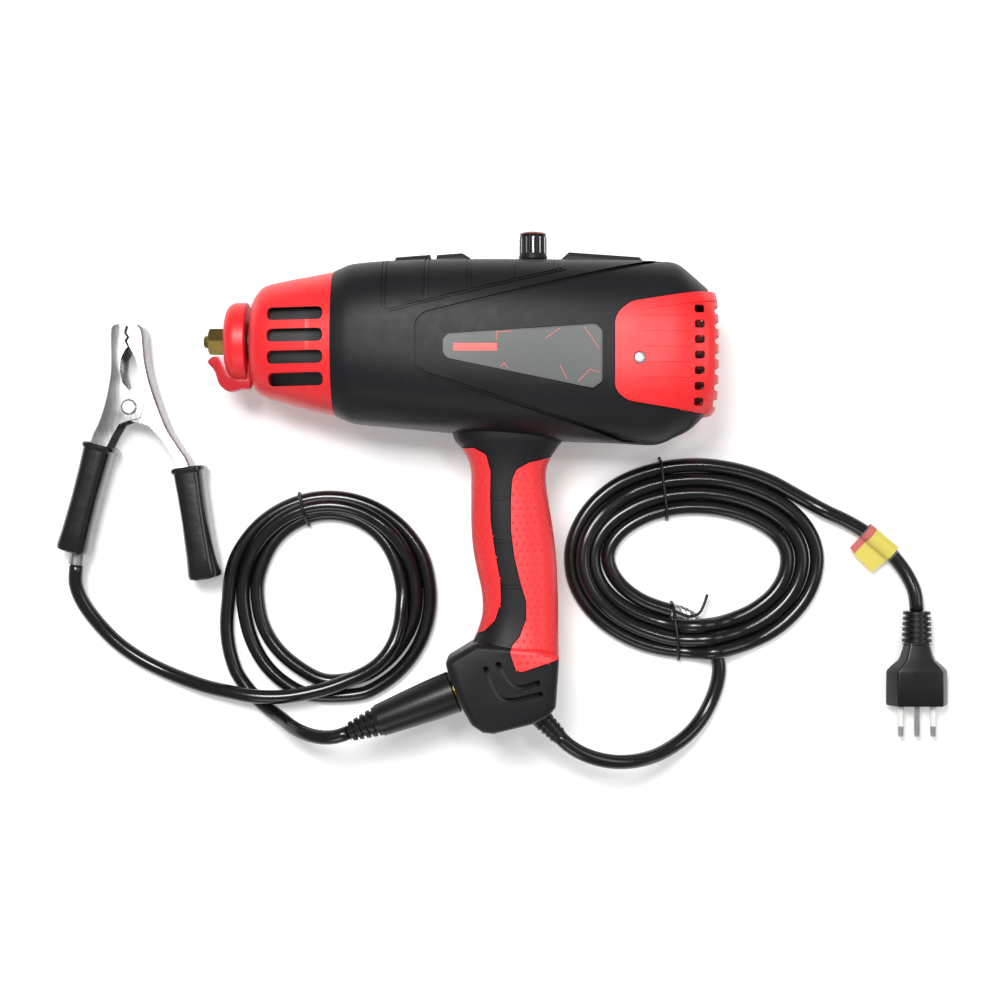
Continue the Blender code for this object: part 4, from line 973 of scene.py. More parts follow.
EARTH_RADIUS = 4.1
EARTH_LEAD = (
    (-63.6, -143.8, 48.0), (-70.8, -146.0, 47.2), (-79.0, -146.4, 44.8), (-87.6, -145.2, 39.6),
    (-96.0, -142.8, 30.6), (-104.2, -139.4, 17.4), (-112.2, -135.0, 9.8), (-119.6, -129.6, 5.8),
    (-126.2, -122.8, 4.3), (-132.6, -113.6, 4.2),
)
EARTH_TURNS = (
    (-136.2, -104.0, 4.1), (-138.3, -93.5, 4.1), (-138.8, -82.5, 4.1),
    *lane((-77.6, -69.2), (60.0, 60.0), 180, -85, 4.1, 22),
    (-88.0, -127.0, 4.2), (-103.0, -120.5, 4.4), (-116.0, -108.5, 4.4), (-124.8, -92.0, 4.3),
    *lane((-77.6, -66.7), (51.7, 52.8), -172, -440, 6.5, 22),
    (-79.0, -118.6, 4.4), (-95.0, -111.0, 4.2), (-109.0, -99.0, 4.2), (-118.0, -83.0, 4.2),
    *lane((-77.6, -64.2), (43.4, 45.6), -182, -355, 4.2, 14),
)
EARTH_TAIL = (
    (-34.2, -64.2, 4.3), (-34.4, -74.0, 5.8), (-35.6, -85.0, 9.2), (-39.0, -95.6, 12.2),
    (-45.2, -104.8, 13.4), (-53.6, -111.6, 13.6), (-65.0, -116.9, 13.6), (-80.6, -122.4, 14.2),
    (-101.5, -126.4, 15.4), (-120.0, -126.4, 15.6), (-135.0, -124.0, 13.6), (-149.5, -121.2, 10.0),
    (-163.6, -117.0, 6.6), (-178.0, -111.4, 4.5), (-191.4, -104.4, 4.2), (-203.8, -95.4, 4.7),
    (-214.4, -84.0, 6.8), (-222.6, -71.8, 9.8), (-226.4, -60.6, 12.6), (-225.9, -49.9, 14.0),
)
MAINS_RADIUS = 4.2
MAINS_LEAD = (
    (57.3, -145.4, 48.0), (63.2, -150.8, 47.6), (71.0, -155.6, 46.3), (80.5, -159.2, 43.8),
    (91.0, -161.3, 39.6), (102.5, -161.6, 33.2), (114.6, -159.9, 23.8), (125.5, -155.6, 15.9),
    (135.0, -149.4, 10.5), (143.0, -141.0, 6.8), (149.0, -130.8, 4.8), (153.0, -119.6, 4.3),
    (154.0, -108.6, 4.2),
)
MAINS_TAIL = (
    (216.4, -17.2, 6.9), (227.6, -22.4, 6.4), (238.6, -28.6, 6.4), (248.6, -35.8, 6.4),
    (257.4, -44.6, 6.8), (264.4, -54.2, 7.8), (269.0, -64.8, 9.6), (270.3, -75.6, 10.1),
)


def mains_turns() -> list[tuple[float, float, float]]:
    """The mains cord's turns, from its lead under the bottom strands out to its tail."""
    left, top, right, bottom = (87.4, 78.6, 72.6, 65.9), (-13.9, -7.2, 1.4, 10.1), (195.0, 203.7, 212.6), (
        -85.8, -93.4, -101.0)
    lows, highs = (4.2, 4.4, 10.4, 4.6), (4.2, 9.6, 4.6, 5.2)
    points = [(150.5, -98.5, 4.2), (145.0, -88.0, 4.2), (134.5, -80.5, 4.2), (121.5, -76.2, 4.2),
              (106.0, -69.5, 4.2), (93.5, -59.0, 4.2)]
    middle = (139.3, -46.0)
    for number in range(4):
        stops = [(180, middle[0] - left[number], lows[number]), (90, top[number] - middle[1], highs[number])]
        if number < 3:
            stops += [(0, right[number] - middle[0], (4.4, 5.4, 4.6)[number]),
                      (-90, middle[1] - bottom[number], (12.6, 15.6, 12.8)[number]),
                      (-180, middle[0] - left[number + 1], lows[number + 1])]
        for (start, first, low), (end, second, high) in zip(stops, stops[1:]):
            for step in range(5):
                share = step / 5
                turn = math.radians(start + (end - start) * share)
                upright = start % 180 != 0
                wide, tall = (second, first) if upright else (first, second)
                points.append((middle[0] + wide * math.cos(turn), middle[1] + tall * math.sin(turn),
                               low + (high - low) * share))
    return points + [(139.3, 10.1, 5.2), (160.0, 8.0, 5.6), (181.0, 1.6, 6.4), (199.5, -7.6, 6.9)]


@dataclass
class Cords:
    """The earth cable and the mains cord, with their ties, tag and tape."""

    wire: float = 0.9
    tag_length: float = 23.0
    sheet: float = 0.35
    foil: float = 0.5
    taped_x: tuple[float, float] = (123.0, 144.0)
    taped_y: tuple[float, float] = (-87.0, -74.0)

    def build(self) -> None:
        earth = Coil("earth_cable", EARTH_RADIUS, EARTH_LEAD, EARTH_TURNS, EARTH_TAIL, "fitting",
                     ("earth_cord_lead", "earth_cord_coil", "earth_cord_tail"), ("cable_lug", "earth_tie"))
        mains = Coil("mains_cable", MAINS_RADIUS, MAINS_LEAD, mains_turns(), MAINS_TAIL, "plug",
                     ("mains_cord_lead", "mains_cord_coil", "mains_cord_tail"),
                     ("plug_shell", "plug_relief", "mains_tie_top", "mains_tie_bottom", "tag_label",
                      "tag_band", "tag_sleeve", "silver_tape"))
        laid = []
        for coil in (earth, mains):
            piece = finished(coil.build(), coil.name, Finish.JACKET.material, "welder",
                             coil.nodes, 60)
            LOG.info("%s is %.3f m long", coil.name, length_of(coil.line) * MM)
            laid.append((coil, piece))
        self.dress(earth, mains)
        for coil, piece in laid:
            coil.declare(piece)

    def dress(self, earth: Coil, mains: Coil) -> None:
        """Adds the ties, the tape, the loose end of a tie and the tag."""
        tie = earth.tie((-77.6, -66.0), (-0.29, 0.957), 90, self.wire)
        finished(tie, "earth_tie", Finish.RUBBER.material, "welder", ("earth_cord_tie",), 60)
        self.tape(mains)
        self.tag()
        end = ((126.0, -75.8), (131.0, -78.2), (136.0, -79.6), (141.5, -78.0), (144.5, -73.0), (146.6, -66.9))
        twist = swept(fine_route(mains.resting(end, self.wire), 1.0), self.wire, 10)
        finished(twist, "twist_end", Finish.RUBBER.material, "welder", crease=60)
        for name, node, x, side in (("mains_tie_top", "cord_tie_upper", 125.9, 1),
                                    ("mains_tie_bottom", "cord_tie_lower", 122.8, -1)):
            tie = mains.tie((x, -44.6), (-0.12 * side, side), 80, self.wire)
            finished(tie, name, Finish.RUBBER.material, "welder", (node,), 60)

    def tape(self, mains: Coil) -> None:
        """Wraps crinkled silver tape round the mains cord, where it first comes out from under its turns."""
        wrapped: list[tuple[float, float, float]] = []
        for spot in mains.line:
            if self.taped_x[0] < spot[0] < self.taped_x[1] and self.taped_y[0] < spot[1] < self.taped_y[1]:
                wrapped.append(tuple(spot))
            elif wrapped:
                break
        wrap = swept(fine_route(wrapped, 1.5), mains.radius + self.foil, 20)
        for vert in wrap.data.vertices:
            x, y, z = vert.co
            wave = math.sin(x * 1900 + z * 2600) + math.sin(y * 2300 - x * 900)
            vert.co.z += 0.00018 * wave
            vert.co.y += 0.00012 * wave
        finished(wrap, "silver_tape", Finish.FOIL.material, "welder", crease=12)

    def tag(self) -> None:
        """A clear sleeve on the mains cord that holds a yellow label with a red band, without words."""
        middle = Vector(MAINS_TAIL[3])
        along = (Vector(MAINS_TAIL[4]) - Vector(MAINS_TAIL[2])).normalized()
        across = Vector((along.y, -along.x, 0)).normalized()
        reach, clear = self.tag_length / 2, MAINS_RADIUS + 0.7

        def flag(corners: Outline, low: float, high: float) -> Piece:
            """A flat part of the tag, from corners across and along the cord."""
            spots = [middle + across * s + along * t for s, t in corners]
            return prism([(spot.x, spot.y) for spot in spots], middle.z + low, middle.z + high)

        def tube(start: float, end: float, inner: float) -> Piece:
            """A round part of the tag, between two distances along the cord."""
            outer = inner + (self.sheet if inner == clear else 0.3)
            profile = ((start, inner), (start, outer), (end, outer), (end, inner))
            return turned(profile, middle, along, 40, ring=True)

        label = ((clear, 5.4 - reach), (15.0, 5.0 - reach), (16.2, reach - 3.0), (clear, reach - 1.2))
        band = ((clear, 1.0 - reach), (13.6, 0.6 - reach), (14.6, 4.8 - reach), (clear, 5.2 - reach))
        case = ((clear, -reach), (15.6, -0.6 - reach), (18.0, reach - 2.0), (clear, reach))
        finished(joined(tube(-reach + 5.4, reach - 1.2, clear), flag(label, -0.3, 0.3)),
                 "tag_label", Finish.YELLOW.material, "welder", ("cord_tag",))
        finished(joined(tube(1.0 - reach, 5.2 - reach, clear), flag(band, -0.3, 0.3)),
                 "tag_band", Finish.PRINT_RED.material, "welder")
        finished(joined(tube(-reach, reach, clear + 0.6), flag(case, 0.5, 0.8)),
                 "tag_sleeve", Finish.CLEAR.material, "welder")


# ---------------------------------------------------------------- housing

BARREL_WIDTH = 94.8
HANDLE_WIDTH = 42.0
BOOT_WIDTH = 50.0
WALL = 3.0
PANEL_RAISE = 1.6
GRIP_DEPTH = 2.4

# Stations along the barrel: x, lowest y, highest y, width as a share of BARREL_WIDTH, squareness
BARREL = (
    (-69.2, 36.6, 118.8, 0.875, 2.5), (-64.3, 34.4, 120.8, 0.905, 2.6), (-57.7, 32.4, 122.8, 0.928, 2.7),
    (-38.0, 30.6, 124.2, 0.96, 2.9), (-10.0, 28.0, 124.9, 0.985, 3.1), (25.0, 25.0, 124.9, 1.0, 3.2),
    (60.0, 22.6, 124.6, 1.0, 3.2), (90.0, 21.6, 124.4, 0.985, 3.2), (112.0, 20.6, 123.8, 0.97, 3.1),
    (122.8, 24.6, 122.4, 0.955, 3.0), (131.0, 28.8, 116.4, 0.925, 2.9), (139.5, 36.6, 109.0, 0.87, 2.8),
)
# Stations down the handle: y, front x, rear x, width as a share of HANDLE_WIDTH, squareness
HANDLE = (
    (40.0, -6.0, 62.0, 1.2, 2.6), (24.4, -2.5, 60.0, 1.16, 2.6), (19.8, 1.0, 57.0, 1.12, 2.6),
    (12.9, 5.4, 52.6, 1.06, 2.6), (5.4, 7.3, 50.0, 1.02, 2.6), (-5.6, 7.4, 50.5, 1.0, 2.6),
    (-23.0, 7.4, 53.2, 1.0, 2.6), (-37.8, 8.4, 55.2, 1.0, 2.6), (-51.4, 11.0, 56.2, 1.0, 2.6),
    (-63.8, 13.6, 56.7, 1.0, 2.6), (-74.9, 13.8, 57.0, 1.01, 2.6), (-84.0, 11.4, 57.0, 1.04, 2.7),
    (-92.0, 8.0, 57.0, 1.1, 2.8), (-101.0, 4.0, 56.8, 1.17, 3.0), (-112.0, 6.0, 52.0, 1.15, 3.0),
)
BOOT = (
    (10.5, -90.5), (-6.9, -101.0), (-5.1, -108.2), (2.9, -128.0), (7.8, -136.7), (14.1, -140.9),
    (20.2, -141.6), (42.4, -136.1), (51.2, -131.6), (55.1, -126.8), (56.7, -103.3), (56.9, -97.0),
    (44.0, -93.0),
)
BOOT_ROUNDING = 6.0
WEDGE = (
    (-19.8, 62.2), (-16.9, 59.8), (108.2, 19.7), (150.0, 6.3), (150.0, 130.0), (-16.0, 89.3), (-19.8, 86.2),
)
TOP_RIBS = (
    ((-38.0, 120.0), (-34.6, 125.7), (-15.4, 127.2), (-14.2, 120.0)),
    ((-12.8, 120.0), (-11.7, 127.0), (2.6, 128.1), (7.2, 125.3), (9.0, 120.0)),
    ((53.0, 120.0), (62.6, 128.6), (102.3, 125.8), (108.0, 120.0)),
)
FRONT_GRIP = (
    (-20.0, 18.9), (9.3, 18.9), (16.6, 14.8), (19.1, 5.1), (18.8, -9.4), (19.1, -22.8), (21.5, -39.8),
    (24.5, -55.6), (24.9, -67.7), (21.5, -78.5), (15.4, -84.6), (9.4, -87.3), (-20.0, -88.0),
)
REAR_GRIP = (
    (80.0, 14.4), (51.7, 13.4), (39.7, 10.6), (32.4, 6.4), (30.0, 0.3), (29.4, -10.6), (29.4, -27.6),
    (31.2, -42.1), (34.3, -55.5), (37.9, -67.5), (37.9, -77.2), (34.3, -86.9), (30.0, -91.8),
    (28.8, -96.1), (32.0, -105.4), (35.5, -107.3), (56.0, -100.3), (80.0, -92.4),
)
GRILLE = (
    (86.3, 49.1), (93.2, 43.5), (132.5, 37.2), (155.0, 36.6), (155.0, 105.6), (135.0, 104.0), (94.8, 97.4),
    (86.3, 90.0),
)
PLATE = (
    (-7.2, 69.0), (-4.4, 66.3), (74.3, 50.0), (79.4, 53.8), (79.4, 81.4), (75.9, 84.9), (-4.4, 79.6),
    (-7.2, 77.0),
)
PLATE_DEPTH = 0.75
SKIN_GAP = 0.55
GRILLE_CORNER = 13.0
WEDGE_CORNER = 7.0
VENT_WIDTH = 2.9
GROOVE_WIDTH = 0.8
BOSS_RADIUS = 5.5
HEAD_RADIUS = 3.6
BOOT_VENTS = (
    ((15.4, -103.5), (19.1, -114.4), (27.5, -122.2), (47.4, -118.6)),
    ((22.3, -101.0), (26.1, -108.0), (33.9, -115.0), (46.0, -112.2)),
)
SIDE_GROOVES = (
    ((-41.0, 126.0), (-41.0, 96.6), (-40.2, 94.0), (-37.6, 92.9), (58.0, 116.6)),
    ((-17.5, 126.0), (-17.5, 99.0)), ((5.9, 126.0), (5.9, 105.0)), ((29.5, 126.0), (29.5, 110.8)),
    ((53.4, 126.0), (53.4, 116.8)),
)
SHELL_SCREWS = ((-50.0, 107.0), (-50.0, 41.0), (32.0, -40.0), (21.0, -131.0))
SCREW_HOLE = 1.9
GRILLE_SCREW_AT = (99.9, 66.6)
KNOB_X = 42.6
SOCKET_AT = (-1.5, -119.6)
SOCKET_TO = (-62.6, -143.4)
SOCKET_RADIUS = 11.0
GLAND_AT = (46.6, -134.4)
GLAND_TO = (57.0, -145.0)
GLAND_RADIUS = 6.0


def fillet(outline: Outline, radius: float, steps: int = 4) -> Outline:
    """An outline with each corner rounded to about a radius."""
    points = [Vector(point) for point in outline]
    new = []
    for index, corner in enumerate(points):
        before, after = points[index - 1] - corner, points[(index + 1) % len(points)] - corner
        half = max(0.2, before.angle(after) / 2)
        run = min(radius / math.tan(half) if half < 1.5 else radius * 0.1, before.length * 0.45,
                  after.length * 0.45)
        start, end = corner + before.normalized() * run, corner + after.normalized() * run
        for step in range(steps + 1):
            t = step / steps
            new.append(tuple(start * (1 - t) ** 2 + corner * 2 * t * (1 - t) + end * t**2))
    return new


def barrel(stations: Sequence[Sequence[float]], grow: float, raise_side: float = 0.0, sides: int = 60,
           per: int = 4, from_x: float | None = None, to_x: float | None = None) -> Piece:
    """The barrel's form.

    Args:
        stations: rows as in BARREL.
        grow: how much it is grown all round.
        raise_side: how much its sides are grown besides.
        sides: corners round it.
        per: steps from one station to the next.
        from_x: where its front end is moved to.
        to_x: where its rear end is moved to.

    Returns:
        The solid.
    """
    rows = curve_through(stations, per)
    rings = []
    for index, (x, low, high, share, power) in enumerate(rows):
        if index == 0 and from_x is not None:
            x = from_x
        if index == len(rows) - 1 and to_x is not None:
            x = to_x
        half = ((high - low) / 2 + grow, BARREL_WIDTH * share / 2 + grow + raise_side)
        rings.append([(x, y, z) for y, z in oval(((low + high) / 2, MID), half, power, sides)])
    return loft(rings)


def handle(inset: float, sides: int = 44, per: int = 4) -> Piece:
    """The handle's form, shrunk by an inset."""
    rings = []
    for y, front, rear, share, power in curve_through(HANDLE, per):
        half = ((rear - front) / 2 - inset, HANDLE_WIDTH * share / 2 - inset)
        rings.append([(x, y, z) for x, z in oval(((front + rear) / 2, MID), half, power, sides)])
    return loft(rings)


def boot(inset: float, steps: int = 6) -> Piece:
    """The boot at the handle's foot: its outline with rounded edges, shrunk by an inset."""
    half = BOOT_WIDTH / 2 - inset
    by = max(BOOT_ROUNDING - inset, 1.5)
    arc = [(1 - math.sin(turn), 1 - math.cos(turn)) for turn in
           (math.pi / 2 * step / (steps - 1) for step in range(steps))]
    rings = []
    for side, rows in ((-1, arc), (1, arc[::-1])):
        for pull, drop in rows:
            z = MID + side * (half - drop * by)
            rings.append([(x, y, z) for x, y in fillet(offset(BOOT, -inset - pull * by * 0.65), 3.0, 3)])
    return loft(rings)


def heading(start: tuple[float, float], end: tuple[float, float]) -> Vector:
    """The direction from one point of the parting plane to another."""
    return Vector((end[0] - start[0], end[1] - start[1], 0)).normalized()


def hole(x: float, y: float, radius: float, low: float = -60, high: float = 60, sides: int = 24) -> Piece:
    """A round cutter across the parting plane."""
    return turned(((low, radius), (high, radius)), (x, y, MID), (0, 0, 1), sides)


@dataclass
class Housing:
    """Both shells with their grooves and vents, the soft grips and the name plates."""

    grips: dict[str, Piece] = field(default_factory=dict)

    def build(self) -> None:
        """Builds the shells, hollow as the real ones are, and parts them at the middle."""
        outer = barrel(BARREL, 0)
        panel = keep(barrel(BARREL, 0.3, PANEL_RAISE), self.wedge(60))
        outer = union(outer, keep(panel, box((-REACH, -REACH, 0), (REACH, REACH, 2 * MID))))
        for rib in TOP_RIBS:
            outer = union(outer, self.rib(rib))
        foot = union(handle(0), boot(0))
        outer = union(outer, copy_of(foot))
        for label, outline in (("front_grip", FRONT_GRIP), ("rear_grip", REAR_GRIP)):
            shape = fillet(outline, 4.0)
            outer = cut(outer, through(shape))
            skin = keep(copy_of(foot), through(offset(shape, -SKIN_GAP)))
            self.grips[label] = cut(skin, handle(GRIP_DEPTH - GAP))
        bpy.data.objects.remove(foot)
        outer = union(outer, handle(GRIP_DEPTH))
        outer = cut(outer, self.cavity(), through(fillet(offset(GRILLE, GAP), GRILLE_CORNER, 6)))
        outer = cut(outer, *self.openings(), *self.grooves())
        pocket = prism(fillet(offset(PLATE, GAP), 3.0), 2 * MID - PLATE_DEPTH - 0.45, 2 * MID + 20)
        outer = cut(outer, mirrored(pocket), pocket)
        right = keep(copy_of(outer), side_room("right"))
        left = keep(outer, side_room("left"))
        for x, y in SHELL_SCREWS:
            right = cut(right, hole(x, y, SCREW_HOLE), hole(x, y, HEAD_RADIUS, -60, -14))
            left = cut(left, hole(x, y, SCREW_HOLE, -5, 13))
        black = Finish.HOUSING.material
        finished(left, "shell_left", black, "welder", ("left_shell",))
        finished(right, "shell_right", black, "welder", ("right_shell",))
        # painted shade: a dark sheet inside the boot on each side, behind the vents, so that the vents look
        # dark inside
        for side, name in ((1, "left"), (-1, "right")):
            shade_block = prism(offset(BOOT, -6.5), *sorted((MID + side * 13.0, MID + side * 14.5)))
            finished(cut(shade_block, hole(*SHELL_SCREWS[3], 6.0)), f"vent_baffle_{name}", Finish.INNER.material,
                     "welder")
        self.dress()

    @staticmethod
    def wedge(reach: float) -> Piece:
        """The side panel's outline, which narrows a little towards the top of its edges."""
        outline = fillet(WEDGE, WEDGE_CORNER, 6)
        return loft([[(x, y, MID + z) for x, y in offset(outline, grow)]
                     for z, grow in ((-reach, -5.0), (-44.0, -0.5), (-42.0, 0.6), (42.0, 0.6), (44.0, -0.5),
                                     (reach, -5.0))])

    @staticmethod
    def rib(outline: Outline) -> Piece:
        """A rib along the barrel's top, with sloping sides."""
        base = min(y for _, y in outline)
        rings = []
        for side in (-15.0, -12.6, 12.6, 15.0):
            drop = 2.4 if abs(side) > 14 else 0.0
            rings.append([(x, max(base, y - drop) if y > base + 1 else y, MID + side) for x, y in outline])
        return loft(rings)

    @staticmethod
    def cavity() -> Piece:
        """The hollow inside, around the screw bosses."""
        room = barrel(BARREL, -WALL, per=1, from_x=-74.2, to_x=144.5)
        room = union(room, handle(GRIP_DEPTH + WALL * 0.8, 20, 1), boot(WALL, 2))
        for x, y in SHELL_SCREWS:
            room = cut(room, hole(x, y, BOSS_RADIUS))
        return room

    @staticmethod
    def openings() -> list[Piece]:
        """Cutters for the knob, the earth socket, the cord's gland and the grille's screws."""
        return [
            turned(((-20, 2.8), (20, 2.8)), (KNOB_X, 122, MID), (0, 1, 0), 24),
            turned(((-9, SOCKET_RADIUS + GAP), (20, SOCKET_RADIUS + GAP)), (*SOCKET_AT, MID),
                   heading(SOCKET_AT, SOCKET_TO), 40),
            turned(((-9, GLAND_RADIUS + GAP), (20, GLAND_RADIUS + GAP)), (*GLAND_AT, MID),
                   heading(GLAND_AT, GLAND_TO), 32),
            hole(*GRILLE_SCREW_AT, SCREW_HOLE),
        ]

    @staticmethod
    def grooves() -> list[Piece]:
        """Cutters for the lines in the barrel's skin, the creases on the handle and the boot's vents."""
        cutters = []
        band = cut(barrel(BARREL, 1.2), barrel(BARREL, -0.7, from_x=-80, to_x=150))
        for route in SIDE_GROOVES:
            for shift in (0.0, 2.3):
                line = [(x + shift, y - shift * 0.4) for x, y in route]
                groove = prism(ribbon(line, GROOVE_WIDTH), MID + 12, 2 * MID + 5)
                cutters.append(keep(copy_of(band), groove))
        outline = fillet(WEDGE, WEDGE_CORNER, 6)
        deep = cut(barrel(BARREL, 1.2), barrel(BARREL, -1.3, from_x=-80, to_x=150))
        border = prism(offset(outline, 2.9), MID + 12, 2 * MID + 5)
        cutters.append(keep(deep, cut(border, prism(offset(outline, 0.6), -20, 200))))
        bpy.data.objects.remove(band)
        side = cut(handle(-0.8), handle(0.55))
        for y in (-9.2, -11.0, -33.2, -35.0, -58.6, -60.4):
            cutters.append(keep(copy_of(side), box((16, y - 0.35, MID + 2), (44, y + 0.35, MID + 40))))
        bpy.data.objects.remove(side)
        for vent in BOOT_VENTS:
            cutters.append(prism(fillet(ribbon(eased(vent), VENT_WIDTH), 0.8, 2), MID + 15, MID + 40))
        return cutters + [mirrored(cutter) for cutter in cutters]

    def dress(self) -> None:
        """Parts the grips, adds their dots, and builds the name plates."""
        red = Finish.GRIP.material
        for label, grip in self.grips.items():
            for side in ("left", "right"):
                half = keep(copy_of(grip), side_room(side))
                dots = self.dots(half, 1 if side == "left" else -1)
                finished(half, f"{label}_half_{side}", red, "welder", (f"{label}_{side}",))
                finished(dots, f"{label}_dots_{side}", red, "welder", crease=60)
            bpy.data.objects.remove(grip)
        for side in ("left", "right"):
            self.plate(side)

    @staticmethod
    def dots(grip: Piece, side: int) -> Piece:
        """Rows of small raised dots over a grip's face."""
        graph = bpy.context.evaluated_depsgraph_get()
        points, turns = [], []
        source = grip.evaluated_get(graph)
        for row in range(-27, 6):
            for column in range(2, 16):
                x, y = column * 3.9 + (row % 2) * 1.95, row * 3.9
                start = Vector((x, y, MID + 70 * side)) * MM
                hit, spot, normal, _ = source.ray_cast(start, (0, 0, -side))
                if hit and normal.z * side > 0.3 and abs(spot.z / MM - MID) > 9:
                    points.append(tuple(spot / MM - normal * 0.1))
                    turns.append(tuple(normal.to_track_quat("Z", "Y").to_euler()))
        dome = turned(((-0.1, 0.85), (0.2, 0.78), (0.42, 0.48), (0.5, 0.1)), (0, 0, 0), (0, 0, 1), 10)
        return copies_on(points, turns, dome, Finish.GRIP.material)

    @staticmethod
    def plate(side: str) -> None:
        """A name plate with a dark border, a printed face and thin red lines, but no words."""
        top = 2 * MID - GAP / 2
        sheet = fillet(PLATE, 3.0)
        layers = [
            ("border", prism(sheet, top - PLATE_DEPTH, top - 0.08), Finish.PRINT_BLACK,
             (f"name_plate_{side}",)),
            ("face", prism(offset(sheet, -0.9), top - 0.2, top - 0.03), Finish.PLATE, ()),
        ]
        strokes = (((21.8, 76.2), (21.8, 80.4), (30.1, 80.9)), ((48.1, 76.9), (56.6, 82.6)),
                   ((23.9, 61.6), (26.2, 63.6), (28.0, 61.0)), ((56.4, 62.4), (60.2, 54.8)),
                   ((69.6, 83.2), (77.6, 71.6)), ((66.0, 53.4), (72.6, 60.2), (77.8, 58.4)))
        marks = [prism(ribbon(stroke, 0.35), top - 0.1, top) for stroke in strokes]
        block = ((-1.7, 70.3), (22.2, 70.3), (22.2, 74.5), (-1.7, 74.5))
        marks.append(prism(fillet(block, 0.5), top - 0.1, top))
        layers.append(("marks", joined(*marks), Finish.PRINT_RED, ()))
        for name, shape, finish, nodes in layers:
            if side == "right":
                twin = mirrored(shape)
                bpy.data.objects.remove(shape)
                shape = twin
            finished(shape, f"plate_{name}_{side}", finish.material, "welder", nodes)


# ---------------------------------------------------------------- grille

@dataclass
class Grille:
    """The red grille round the barrel's rear end, with its windows and its screws."""

    windows: int = 7
    first_y: float = 43.1
    pitch: float = 8.45
    height: float = 4.4
    wall: float = 3.8

    def build(self) -> None:
        """Builds the grille and its two screws."""
        middle = [row for row in BARREL if 50 < row[0] < 135]
        end = ((136.0, 33.0, 112.0, 0.91, 2.8), (141.0, 36.4, 108.8, 0.84, 2.8),
               (143.8, 38.6, 106.4, 0.74, 2.8), (144.7, 40.0, 105.0, 0.62, 2.8))
        grow = PANEL_RAISE * 0.7
        skin = barrel([*middle, *end], grow)
        inner = barrel([*middle, end[0], (144.7 - self.wall - 1.4, *end[2][1:])], grow - self.wall, per=2)
        grille = cut(keep(skin, through(fillet(GRILLE, GRILLE_CORNER, 6))), inner)
        grille = keep(grille, box((-REACH, -REACH, GAP), (REACH, REACH, 2 * MID - GAP)))
        band = cut(barrel([*middle, *end], grow + 2), barrel([*middle, *end], grow - 0.6, to_x=150))
        face = through(fillet(((99.0, 49.5), (160.0, 40.4), (160.0, 101.6), (99.0, 92.6)), 3.0))
        grille = cut(grille, keep(band, face))
        deeper = cut(barrel([*middle, *end], grow + 2), barrel([*middle, *end], grow - 1.1, to_x=150))
        for number in range(self.windows):
            y = self.first_y + number * self.pitch
            for low_x, high_x, reach in ((130.0, 135.4, 60), (141.6, 162.0, 60), (136.0, 162.0, 27)):
                slot = fillet([(low_x, y - self.height / 2), (high_x, y - self.height / 2),
                               (high_x, y + self.height / 2), (low_x, y + self.height / 2)], 1.4)
                grille = cut(grille, prism(slot, MID - reach, MID + reach))
            if 50 < y + self.pitch / 2 < 92:
                line = box((101.5, y + self.pitch / 2 - 0.3, -20), (128.0, y + self.pitch / 2 + 0.3, 120))
                grille = cut(grille, keep(copy_of(deeper), line))
        bpy.data.objects.remove(deeper)
        seat = MID - GAP - 2.0
        for side in (-1, 1):
            at = (*GRILLE_SCREW_AT, MID)
            grille = cut(grille, turned(((20, SCREW_HOLE), (60, SCREW_HOLE)), at, (0, 0, side), 24),
                         turned(((seat, HEAD_RADIUS), (60, HEAD_RADIUS)), at, (0, 0, side), 32))
            self.screw(side, seat)
        finished(grille, "grille", Finish.NOSE.material, "welder", ("rear_grille",))

    @staticmethod
    def screw(side: int, seat: float) -> None:
        """A domed screw with a cross recess."""
        at = Vector((*GRILLE_SCREW_AT, MID))
        body = turned(((BARREL_WIDTH / 2 - 10, 1.6), (seat + GAP, 1.6), (seat + GAP, 3.1), (seat + 1.0, 3.15),
                       (seat + 1.5, 2.6), (seat + 1.75, 1.2)), at, (0, 0, side), 32)
        top = at.z + side * (seat + 1.2)
        low, high = sorted((top, top + side * 2))
        for wide, tall in ((3.4, 0.7), (0.7, 3.4)):
            body = cut(body, box((at.x - wide / 2, at.y - tall / 2, low),
                                 (at.x + wide / 2, at.y + tall / 2, high)))
        label = "left" if side > 0 else "right"
        finished(body, f"grille_fixing_{label}", Finish.STEEL.material, "welder",
                 (f"grille_screw_{label}",))


# ---------------------------------------------------------------- nose

NOSE_Y = 79.2
NOSE_FRONT = -116.0
NOSE = (
    (NOSE_FRONT, 53.6, 102.0, 0.512, 2.2), (-113.5, 49.8, 106.3, 0.595, 2.2),
    (-108.5, 47.2, 110.8, 0.67, 2.2),
    (-96.3, 43.4, 113.6, 0.74, 2.3), (-84.0, 40.2, 115.8, 0.797, 2.4), (-69.5, 37.0, 118.4, 0.857, 2.5),
)
RING_X = (-131.6, -119.3)
RING_RADIUS = 22.2
WING = (
    (-131.0, 74.0), (-137.0, 72.0), (-142.4, 68.1), (-138.5, 62.6), (-135.6, 54.7), (-129.8, 50.6),
    (-123.3, 51.8), (-118.1, 52.6), (-117.2, 60.0), (-119.5, 72.0),
)


